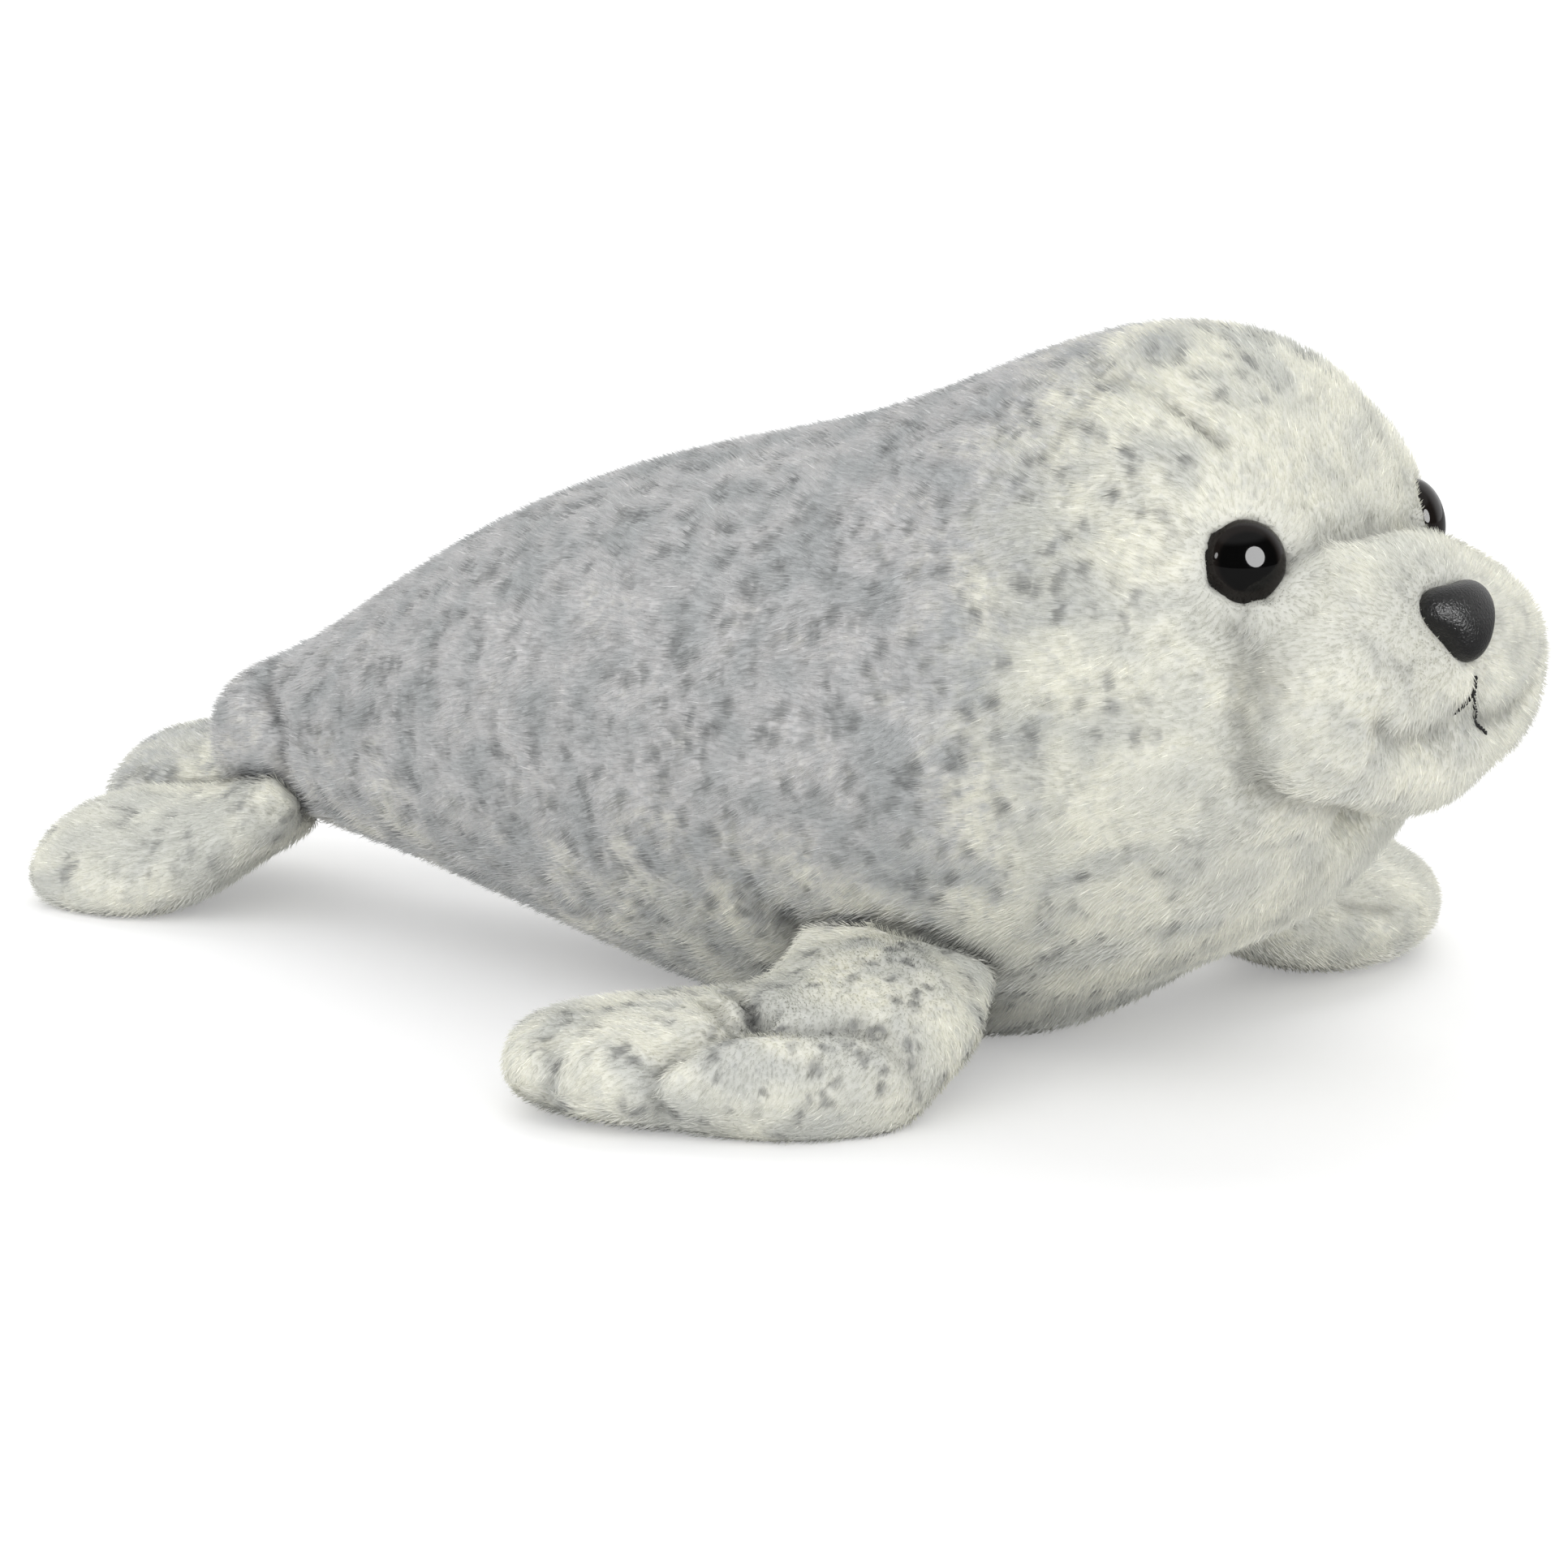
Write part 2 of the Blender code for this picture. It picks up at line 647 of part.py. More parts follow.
def main():
    """Builds every piece of the seal."""
    clear_scene()
    plush = material("spotted_plush", (0.55, 0.56, 0.55), 0.95)
    pale = material("pale_plush", (0.72, 0.72, 0.66), 0.95)
    gloss = material("black_gloss", (0.01, 0.01, 0.01), 0.08)
    grained = material("black_grained", (0.02, 0.02, 0.022), 0.45)
    nylon = material("white_nylon", (0.8, 0.8, 0.78), 0.5)
    thread = material("black_thread", (0.02, 0.02, 0.02), 0.8)

    floor = floor_block()
    body = build_body(plush, floor)
    bare = evaluated_mesh(body)
    shell = BVHTree.FromPolygons([v.co for v in bare.vertices], [p.vertices for p in bare.polygons])
    body_cutter = grown_copy(body, "body_grown")

    flippers = {paddle.name: build_flipper(paddle, pale, body_cutter, floor) for paddle in paddles()}
    near_hind = grown_copy(flippers["right_hind_flipper"], "right_hind_grown")
    boolean(flippers["left_hind_flipper"], near_hind)

    up = Vector((0.0, 0.0, 1.0))
    head_middle = Vector((TRUNK_FRONT - EYE_RAY_BACK, 0.0, CROWN_HEIGHT - EYE_RAY_DROP))
    for side, name in ((1.0, "left"), (-1.0, "right")):
        gaze = direction(side * EYE_YAW, EYE_PITCH)
        spot = surface_hit(shell, head_middle, gaze)
        frame = seat_matrix(spot - gaze * EYE_SUNK, gaze, up)
        build_eye(name + "_eye", frame, gloss)
        build_washer(name + "_eye_washer", frame, nylon)
        cut_pocket(body, name + "_eye_pocket", frame, 0.5 * EYE_DIAMETER + GAP)

    sniff = direction(0.0, NOSE_PITCH)
    spot = surface_hit(shell, muzzle_middle(), sniff)
    frame = seat_matrix(spot - sniff * NOSE_SUNK, sniff, up)
    build_nose(frame, grained)
    build_washer("nose_washer", frame, nylon)
    nose_point = 0.5 * NOSE_HEIGHT * (1.0 + NOSE_POINTEDNESS)
    nose_reach = max(math.hypot(x, y) for x, y in nose_outline(1.0)) / cage_swell(NOSE_SIDES)
    cut_pocket(body, "nose_pocket", frame, nose_reach + 2.0 * GAP)

    under_nose = frame @ Vector((0.0, -nose_point - MOUTH_UNDER_NOSE, 0.0))
    build_mouth(shell, under_nose.z, thread)
    centre_on_floor()


main()
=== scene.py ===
"""The looks of a plush seal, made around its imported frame.

Units are metres. +X is the way the seal looks, +Y is its left side, +Z is up and the floor is z = 0.
"""

import json
import logging
import math
from dataclasses import dataclass
from enum import Enum

import bmesh
import bpy
import numpy as np
from mathutils import Matrix, Vector
from mathutils.bvhtree import BVHTree

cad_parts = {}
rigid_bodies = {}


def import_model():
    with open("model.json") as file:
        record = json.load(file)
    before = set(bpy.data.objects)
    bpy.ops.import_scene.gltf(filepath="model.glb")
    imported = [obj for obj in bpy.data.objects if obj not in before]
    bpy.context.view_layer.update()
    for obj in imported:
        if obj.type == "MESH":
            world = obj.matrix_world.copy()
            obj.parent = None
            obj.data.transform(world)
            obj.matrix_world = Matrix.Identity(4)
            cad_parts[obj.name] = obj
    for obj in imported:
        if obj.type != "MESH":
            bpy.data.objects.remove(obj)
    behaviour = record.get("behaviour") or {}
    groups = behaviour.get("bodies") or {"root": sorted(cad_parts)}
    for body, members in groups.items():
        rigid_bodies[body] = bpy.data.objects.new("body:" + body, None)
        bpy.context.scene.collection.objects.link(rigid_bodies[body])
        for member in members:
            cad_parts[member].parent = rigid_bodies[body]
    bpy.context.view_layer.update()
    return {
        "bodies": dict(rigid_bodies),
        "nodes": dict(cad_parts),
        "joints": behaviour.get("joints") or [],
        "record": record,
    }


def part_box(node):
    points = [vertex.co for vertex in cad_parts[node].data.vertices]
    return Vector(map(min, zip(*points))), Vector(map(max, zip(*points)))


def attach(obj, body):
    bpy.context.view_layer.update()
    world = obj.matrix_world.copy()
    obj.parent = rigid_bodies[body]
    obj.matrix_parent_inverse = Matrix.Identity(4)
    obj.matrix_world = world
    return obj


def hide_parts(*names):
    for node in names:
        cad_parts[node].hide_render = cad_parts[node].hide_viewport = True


LOG = logging.getLogger("plush_seal")
BODY = "root"
SHARP_ANGLE = math.radians(50.0)
STEM_RADIUS = 0.0024
STEM_LENGTH = 0.0150
STEM_REACH = 0.0125
SAME_POINT = 1e-6


class Side(Enum):
    """The two sides of the seal, by the sign of Y."""

    RIGHT = -1.0
    LEFT = 1.0


class Slot(Enum):
    """The record's material slots."""

    SPOTTED = "spotted_plush"
    PALE = "pale_plush"
    GLOSS = "black_gloss"
    GRAINED = "black_grained"
    THREAD = "black_thread"


def srgb(red: int, green: int, blue: int) -> tuple[float, float, float, float]:
    """Turns a colour as a screen shows it into the linear values that a shader takes.

    Args:
        red: Red, 0 to 255.
        green: Green, 0 to 255.
        blue: Blue, 0 to 255.

    Returns:
        Linear red, green, blue and full alpha.
    """
    shares = [value / 255.0 for value in (red, green, blue)]
    linear = [s / 12.92 if s <= 0.04045 else ((s + 0.055) / 1.055) ** 2.4 for s in shares]
    return (*linear, 1.0)


def smooth_step(values: np.ndarray, start: float, end: float) -> np.ndarray:
    """Rises smoothly from 0 at start to 1 at end; start may be above end."""
    share = np.clip((values - start) / (end - start), 0.0, 1.0)
    return share * share * (3.0 - 2.0 * share)


def read_rows(items: bpy.types.bpy_prop_collection, field: str) -> np.ndarray:
    """Reads a vector of each item of a mesh.

    Args:
        items: The mesh's vertices or normals.
        field: The vector's name.

    Returns:
        One row of x, y and z for each item.
    """
    flat = np.empty(len(items) * 3)
    items.foreach_get(field, flat)
    return flat.reshape(-1, 3)


def read_points(mesh: bpy.types.Mesh) -> np.ndarray:
    """Returns a mesh's points as rows."""
    return read_rows(mesh.vertices, "co")


def read_normals(mesh: bpy.types.Mesh) -> np.ndarray:
    """Returns the unit normal at each of a mesh's points."""
    return read_rows(mesh.vertex_normals, "vector")


def write_points(mesh: bpy.types.Mesh, points: np.ndarray) -> None:
    """Moves a mesh's points."""
    mesh.vertices.foreach_set("co", points.astype(np.float32).ravel())
    mesh.update()


def unit(rows: np.ndarray) -> np.ndarray:
    """Returns rows of vectors, each scaled to a length of one."""
    return rows / np.maximum(np.linalg.norm(rows, axis=1, keepdims=True), 1e-9)


def surface_tree(mesh: bpy.types.Mesh) -> BVHTree:
    """Returns the search tree of a mesh's surface."""
    return BVHTree.FromPolygons([v.co for v in mesh.vertices], [p.vertices for p in mesh.polygons])


def made_mesh(name: str, shape: bmesh.types.BMesh) -> bpy.types.Mesh:
    """Turns a built shape into a mesh, and frees the shape.

    Args:
        name: The mesh's name.
        shape: The shape.

    Returns:
        The mesh.
    """
    mesh = bpy.data.meshes.new(name)
    shape.to_mesh(mesh)
    shape.free()
    return mesh


def face_outward(mesh: bpy.types.Mesh) -> None:
    """Joins a mesh's doubled points and turns its faces outward.

    Args:
        mesh: The mesh.
    """
    shape = bmesh.new()
    shape.from_mesh(mesh)
    bmesh.ops.remove_doubles(shape, verts=shape.verts, dist=SAME_POINT)
    bmesh.ops.recalc_face_normals(shape, faces=shape.faces)
    shape.to_mesh(mesh)
    shape.free()


def dress(piece: bpy.types.Object, finish: bpy.types.Material, sharp: float | None = None) -> None:
    """Gives a piece one material and smooth shading.

    Args:
        piece: The piece.
        finish: Its material.
        sharp: The angle from which an edge stays sharp.
    """
    mesh = piece.data
    mesh.materials.clear()
    mesh.materials.append(finish)
    mesh.shade_smooth()
    if sharp is not None:
        mesh.set_sharp_from_angle(angle=sharp)


def link_object(name: str, mesh: bpy.types.Mesh) -> bpy.types.Object:
    """Puts a mesh into the scene as an object at the origin.

    Args:
        name: The object's name.
        mesh: Its mesh.

    Returns:
        The object.
    """
    piece = bpy.data.objects.new(name, mesh)
    bpy.context.scene.collection.objects.link(piece)
    return piece


def applied_mesh(piece: bpy.types.Object) -> bpy.types.Mesh:
    """Makes a plain mesh of an object as its modifiers leave it.

    Args:
        piece: The object.

    Returns:
        The new mesh.
    """
    bpy.context.view_layer.update()
    graph = bpy.context.evaluated_depsgraph_get()
    return bpy.data.meshes.new_from_object(piece.evaluated_get(graph), depsgraph=graph)


def apply_modifiers(piece: bpy.types.Object) -> None:
    """Gives an object the mesh that its modifiers make, and removes them.

    Args:
        piece: The object.
    """
    made = applied_mesh(piece)
    piece.modifiers.clear()
    before = piece.data
    piece.data = made
    bpy.data.meshes.remove(before)


def finish_piece(piece: bpy.types.Object, slot: Slot, *nodes: str) -> None:
    """Attaches a finished piece to the body, hides the frame's nodes that it stands for, and logs its
    triangles.

    Args:
        piece: The finished object.
        slot: The record's material slot; not used.
        nodes: The frame's nodes that it stands for.
    """
    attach(piece, BODY)
    if nodes:
        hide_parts(*nodes)
    faces = sum(len(face.vertices) - 2 for face in piece.data.polygons)
    LOG.info("%s: %d triangles", piece.name, faces)


@dataclass(frozen=True)
class PhotoView:
    """The photograph's viewpoint, placed from the front of the body and its middle plane."""

    front: float
    middle: float
    azimuth: float = math.radians(38.0)
    elevation: float = math.radians(12.0)
    distance: float = 1.7
    target_behind_front: float = 0.1826
    target_height: float = 0.046
    frame_pixels: int = 1932
    pixels_per_metre: float = 5405.0
    sensor: float = 0.036

    def target(self) -> Vector:
        """Returns the point that the view is centred on."""
        return Vector((self.front - self.target_behind_front, self.middle, self.target_height))

    def back(self) -> Vector:
        """Returns the direction from the target to the camera."""
        level = math.cos(self.elevation)
        return Vector((
            math.sin(self.azimuth) * level,
            -math.cos(self.azimuth) * level,
            math.sin(self.elevation),
        ))

    def eye_point(self) -> Vector:
        """Returns where the camera stands."""
        return self.target() + self.back() * self.distance

    def ray(self, pixel: tuple[float, float]) -> Vector:
        """Finds where a pixel of the photograph looks.

        Args:
            pixel: Its column and row in the photograph.

        Returns:
            The direction from the camera.
        """
        right = Vector((math.cos(self.azimuth), math.sin(self.azimuth), 0.0))
        up = self.back().cross(right)
        focal = self.pixels_per_metre * self.distance
        centre = 0.5 * self.frame_pixels
        across = (pixel[0] - centre) / focal
        rise = (centre - pixel[1]) / focal
        return (right * across + up * rise - self.back()).normalized()

    def build(self) -> None:
        """Adds the camera."""
        data = bpy.data.cameras.new("photo_camera")
        data.sensor_width = self.sensor * 1000.0
        data.lens = self.pixels_per_metre * self.distance * data.sensor_width / self.frame_pixels
        data.clip_start = 0.01
        camera = bpy.data.objects.new("photo_camera", data)
        bpy.context.scene.collection.objects.link(camera)
        camera.location = self.eye_point()
        camera.rotation_euler = self.back().to_track_quat("Z", "Y").to_euler()
        bpy.context.scene.camera = camera


class Graph:
    """A node tree with short ways to add and join its nodes."""

    def __init__(self, tree: bpy.types.NodeTree) -> None:
        """Keeps the tree."""
        self.tree = tree

    def add(self, kind: str, inputs: dict | None = None, **settings: object) -> bpy.types.Node:
        """Adds a node.

        Args:
            kind: The node's type.
            inputs: Values or output sockets for its inputs, by name or number.
            settings: The node's own properties.

        Returns:
            The node.
        """
        node = self.tree.nodes.new(kind)
        for key, value in settings.items():
            setattr(node, key, value)
        for key, value in (inputs or {}).items():
            if isinstance(value, bpy.types.NodeSocket):
                self.tree.links.new(value, node.inputs[key])
            else:
                node.inputs[key].default_value = value
        return node

    def maths(
        self, operation: str, first: object, second: object = 0.0, third: object = 0.0,
    ) -> bpy.types.NodeSocket:
        """Adds a maths step on two or three numbers."""
        return self.add("ShaderNodeMath", {0: first, 1: second, 2: third}, operation=operation).outputs[0]

    def times(self, first: object, second: object) -> bpy.types.NodeSocket:
        """Adds the product of two numbers."""
        return self.maths("MULTIPLY", first, second)

    def plus(self, first: object, second: object) -> bpy.types.NodeSocket:
        """Adds the sum of two numbers."""
        return self.maths("ADD", first, second)

    def kept(self, name: str, output: str = "Fac") -> bpy.types.NodeSocket:
        """Adds a shader's read of a value kept on the mesh."""
        return self.add("ShaderNodeAttribute", attribute_name=name).outputs[output]

    def vectors(self, operation: str, first: object, second: object) -> bpy.types.NodeSocket:
        """Adds a step on two vectors."""
        return self.add("ShaderNodeVectorMath", {0: first, 1: second}, operation=operation).outputs[0]

    def scaled(self, vector: object, amount: object) -> bpy.types.NodeSocket:
        """Adds a step that scales a vector by a number."""
        return self.add("ShaderNodeVectorMath", {0: vector, "Scale": amount}, operation="SCALE").outputs[0]

    def blend(self, share: object, first: object, second: object) -> bpy.types.NodeSocket:
        """Adds a blend of two colours."""
        return self.add("ShaderNodeMix", {0: share, 6: first, 7: second}, data_type="RGBA").outputs[2]

    def step(self, value: object, start: float, end: float) -> bpy.types.NodeSocket:
        """Adds a smooth step from 0 at start to 1 at end."""
        inputs = {"Value": value, "From Min": start, "From Max": end}
        return self.add("ShaderNodeMapRange", inputs, interpolation_type="SMOOTHSTEP").outputs[0]


@dataclass(frozen=True)
class SpottedPattern:
    """The printed colours of the plush: a grey saddle, a cream front, and soft spots on both.

    A pair named edge or range is where a soft step of that value starts and ends.
    """

    saddle: tuple = srgb(217, 216, 216)
    saddle_smudge: tuple = srgb(184, 188, 189)
    saddle_spot: tuple = srgb(143, 145, 145)
    cream: tuple = srgb(247, 246, 234)
    cream_smudge: tuple = srgb(204, 206, 203)
    cream_spot: tuple = srgb(146, 147, 145)
    spots_per_metre: float = 185.0
    smudges_per_metre: float = 78.0
    drifts_per_metre: float = 30.0
    fine_to_spots: float = 2.2
    spot_bend: float = 0.0066
    spot_stretch: tuple = (1.12, 0.95, 0.74)
    spot_raggedness: float = 0.45
    grey_edge: tuple = (0.79, 0.34)
    grey_range: tuple = (0.20, 0.50)
    grey_strength: float = 0.82
    grey_mottle: float = 0.45
    pale_edge: tuple = (0.74, 0.30)
    pale_range: tuple = (0.34, 0.54)
    pale_strength: float = 0.84
    pale_mottle: float = 0.42
    haze_edge: tuple = (0.40, 0.66)
    haze_strength: float = 0.70
    drift_edge: tuple = (0.46, 0.68)
    mottle_edge: tuple = (0.42, 0.68)
    least_cloud: float = 0.52
    border_edge: tuple = (0.10, 0.90)
    border_wander: float = 0.9

    def colour(self, graph: Graph, place: object, saddle: object, spots: object) -> bpy.types.NodeSocket:
        """Adds the print to a shader's or a geometry's tree.

        Args:
            graph: The tree to add to.
            place: Where on the seal the print is read.
            saddle: How much of the grey saddle there is, 0 to 1.
            spots: How strong the spots are, 0 to 1.

        Returns:
            The printed colour.
        """
        drift = self.noise(graph, place, self.drifts_per_metre, 1.0)
        smudge = self.noise(graph, place, self.smudges_per_metre, 1.5)
        fine = self.noise(graph, place, self.spots_per_metre * self.fine_to_spots, 1.5)
        bent = graph.add("ShaderNodeTexNoise", {"Vector": place, "Scale": self.spots_per_metre})
        bent = graph.vectors("ADD", place, graph.scaled(bent.outputs["Color"], self.spot_bend))
        stretched = graph.vectors("MULTIPLY", bent, self.spot_stretch)
        cells = graph.add("ShaderNodeTexVoronoi", {"Vector": stretched, "Scale": self.spots_per_metre})
        away = graph.plus(cells.outputs["Distance"], graph.times(fine, self.spot_raggedness))

        grey_spot = graph.times(graph.step(away, *self.grey_edge), graph.step(drift, *self.grey_range))
        pale_spot = graph.times(graph.step(away, *self.pale_edge), graph.step(smudge, *self.pale_range))
        pale_spot = graph.times(pale_spot, spots)
        haze = graph.step(smudge, *self.haze_edge)
        cloud = graph.maths("MAXIMUM", haze, graph.step(drift, *self.drift_edge))
        clouded = graph.maths("MULTIPLY_ADD", spots, 1.0 - self.least_cloud, self.least_cloud)
        cloud = graph.times(cloud, clouded)
        mottle = graph.step(fine, *self.mottle_edge)

        grey = self.layered(graph, haze, mottle, self.grey_mottle, self.saddle, self.saddle_smudge)
        grey = graph.blend(graph.times(grey_spot, self.grey_strength), grey, self.saddle_spot)
        pale = self.layered(graph, cloud, mottle, self.pale_mottle, self.cream, self.cream_smudge)
        pale = graph.blend(graph.times(pale_spot, self.pale_strength), pale, self.cream_spot)

        wobble = graph.times(graph.maths("SUBTRACT", smudge, 0.5), self.border_wander)
        wobble = graph.plus(wobble, graph.maths("SUBTRACT", fine, 0.5))
        share = graph.step(graph.plus(saddle, wobble), *self.border_edge)
        return graph.blend(share, pale, grey)

    def layered(
        self, graph: Graph, haze: object, mottle: object, mottling: float, ground: tuple, smudge: tuple,
    ) -> bpy.types.NodeSocket:
        """Adds the haze and the mottling to a ground colour."""
        share = graph.maths("MAXIMUM", graph.times(haze, self.haze_strength), graph.times(mottle, mottling))
        return graph.blend(share, ground, smudge)

    @staticmethod
    def noise(graph: Graph, place: object, scale: float, detail: float) -> bpy.types.NodeSocket:
        """Adds soft noise."""
        node = graph.add("ShaderNodeTexNoise", {"Vector": place, "Scale": scale, "Detail": detail})
        return node.outputs[0]


@dataclass(frozen=True)
class PlushFinish:
    """The plush fabric: its backing under the pile, and the pile itself."""

    pattern: SpottedPattern
    # backing_shade, root_shade and fold_shade paint shade into the colour: under the pile, at the strands'
    # roots, and in folds.
    backing_shade: float = 0.93
    root_shade: float = 0.86
    fold_shade: float = 0.80
    streaks_per_metre: float = 1500.0
    streak_stretch: tuple = (0.14, 1.0, 1.0)
    streak_depth: float = 0.0008
    sheen: float = 0.45

    def backing(self) -> bpy.types.Material:
        """Makes the fabric under the pile: the same print, darkened by painted shade under the pile and in
        folds, and streaked with lying pile.

        Returns:
            The material.
        """
        made, graph, shader = new_material("plush_backing", 0.95)
        place = graph.add("ShaderNodeTexCoord").outputs["Object"]
        colour = self.pattern.colour(graph, place, graph.kept("saddle"), graph.kept("spots"))
        # Painted shade: the backing is darker under the pile, and darker still in folds.
        painted_fold_shade = graph.times(graph.kept("fold"), self.fold_shade)
        shade = graph.maths("SUBTRACT", self.backing_shade, painted_fold_shade)
        graph.tree.links.new(graph.scaled(colour, shade), shader.inputs["Base Color"])
        stretched = graph.vectors("MULTIPLY", place, self.streak_stretch)
        streaks = SpottedPattern.noise(graph, stretched, self.streaks_per_metre, 2.0)
        bump = graph.add("ShaderNodeBump", {
            "Height": streaks, "Strength": 0.5, "Distance": self.streak_depth,
        })
        graph.tree.links.new(bump.outputs[0], shader.inputs["Normal"])
        return made

    def pile(self) -> bpy.types.Material:
        """Makes the pile: each strand has the colour printed at its root, with painted shade that darkens it
        towards the root.

        Returns:
            The material.
        """
        made, graph, shader = new_material("plush_pile", 0.55)
        # Painted shade: strands are darker towards their roots, where the pile shades them.
        shade = graph.plus(graph.times(graph.kept("tip"), 1.0 - self.root_shade), self.root_shade)
        colour = graph.scaled(graph.kept("print", "Color"), shade)
        graph.tree.links.new(colour, shader.inputs["Base Color"])
        shader.inputs["Specular IOR Level"].default_value = self.sheen
        return made


def new_material(name: str, roughness: float) -> tuple[bpy.types.Material, Graph, bpy.types.Node]:
    """Starts a material.

    Args:
        name: The material's name.
        roughness: The shader's roughness.

    Returns:
        The material, its graph and its Principled shader.
    """
    made = bpy.data.materials.new(name)
    made.use_nodes = True
    shader = made.node_tree.nodes["Principled BSDF"]
    shader.inputs["Roughness"].default_value = roughness
    return made, Graph(made.node_tree), shader


@dataclass(frozen=True)
class MouldedFinish:
    """Black moulded plastic, from polished to grained."""

    name: str
    colour: tuple
    roughness: float
    ring_colour: tuple | None = None
    grain: float = 0.0
    grains_per_metre: float = 1900.0
    grain_depth: float = 0.0003
    refraction: float = 1.45

    def build(self) -> bpy.types.Material:
        """Makes the material.

        Returns:
            The material.
        """
        made, graph, shader = new_material(self.name, self.roughness)
        place = graph.add("ShaderNodeTexCoord").outputs["Object"]
        shader.inputs["Base Color"].default_value = self.colour
        shader.inputs["IOR"].default_value = self.refraction
        if self.ring_colour is not None:
            colour = graph.blend(graph.kept("ring"), self.colour, self.ring_colour)
            graph.tree.links.new(colour, shader.inputs["Base Color"])
        if self.grain > 0.0:
            grains = SpottedPattern.noise(graph, place, self.grains_per_metre, 2.0)
            bump = graph.add("ShaderNodeBump", {
                "Height": grains, "Strength": self.grain, "Distance": self.grain_depth,
            })
            graph.tree.links.new(bump.outputs[0], shader.inputs["Normal"])
        return made


@dataclass(frozen=True)
class Fitting:
    """Where a moulded fitting sits: the middle of its back face and the way that it points."""

    back: Vector
    axis: Vector
    radius: float

    @classmethod
    def from_nodes(cls, fitting: bpy.types.Object, washer: bpy.types.Object) -> "Fitting":
        """Reads a fitting's place from its node and the washer behind it.

        Args:
            fitting: The fitting's node.
            washer: The washer's node, which is round and on the same axis.

        Returns:
            The fitting's place.
        """
        points = read_points(fitting.data)
        ring = read_points(washer.data)
        middle = 0.5 * (ring.min(axis=0) + ring.max(axis=0))
        stem = points[np.linalg.norm(points - middle, axis=1) < STEM_REACH]
        start = stem.mean(axis=0)
        axis = np.linalg.svd(stem - start)[2][0]
        axis = axis if np.dot(axis, points.mean(axis=0) - start) > 0.0 else -axis
        heights = (points - start) @ axis
        across = np.linalg.norm(points - start - heights[:, None] * axis, axis=1)
        rim = heights[across > 0.6 * across.max()].min()
        return cls(Vector(start + axis * rim), Vector(axis), float(across.max()))

    def matrix(self) -> Matrix:
        """Returns the fitting's frame: Z along its axis and Y as near to up as it can be."""
        across = Vector((0.0, 0.0, 1.0)).cross(self.axis).normalized()
        upward = self.axis.cross(across)
        turn = Matrix((across, upward, self.axis)).transposed().to_4x4()
        return Matrix.Translation(self.back) @ turn

    def beyond(self, points: np.ndarray) -> np.ndarray:
        """Measures how far points lie outside a round rim, as seen along its axis."""
        return self.local(points)[0] - self.radius

    def local(self, points: np.ndarray) -> tuple[np.ndarray, np.ndarray]:
        """Measures points from the fitting.

        Args:
            points: Points as rows.

        Returns:
            Their distances from its axis, and their heights over its back face.
        """
        offset = points - np.array(self.back)
        height = offset @ np.array(self.axis)
        return np.linalg.norm(offset - height[:, None] * np.array(self.axis), axis=1), height


@dataclass(frozen=True)
class Crease:
    """A sewn line or fold in the plush, along pixels of the photograph; its shade is painted shade that darkens
    the colour along it.
    """

    pixels: tuple
    width: float
    depth: float
    shade: float = 1.0
    both_sides: bool = False


@dataclass(frozen=True)
class Dent:
    """A soft hollow or, with a negative depth, a fullness, at a pixel of the photograph; its shade is painted
    shade that darkens the colour there.
    """

    pixel: tuple
    radius: float
    depth: float
    shade: float = 0.0
    both_sides: bool = False


SWIRL_WAVES = ((150.0, 70.0, -95.0), (-60.0, 130.0, 190.0), (260.0, -210.0, 120.0))
SWIRL_STARTS = (0.0, 1.3, 2.1)
SWIRL_TURNS = (0.20, 0.18, 0.12)


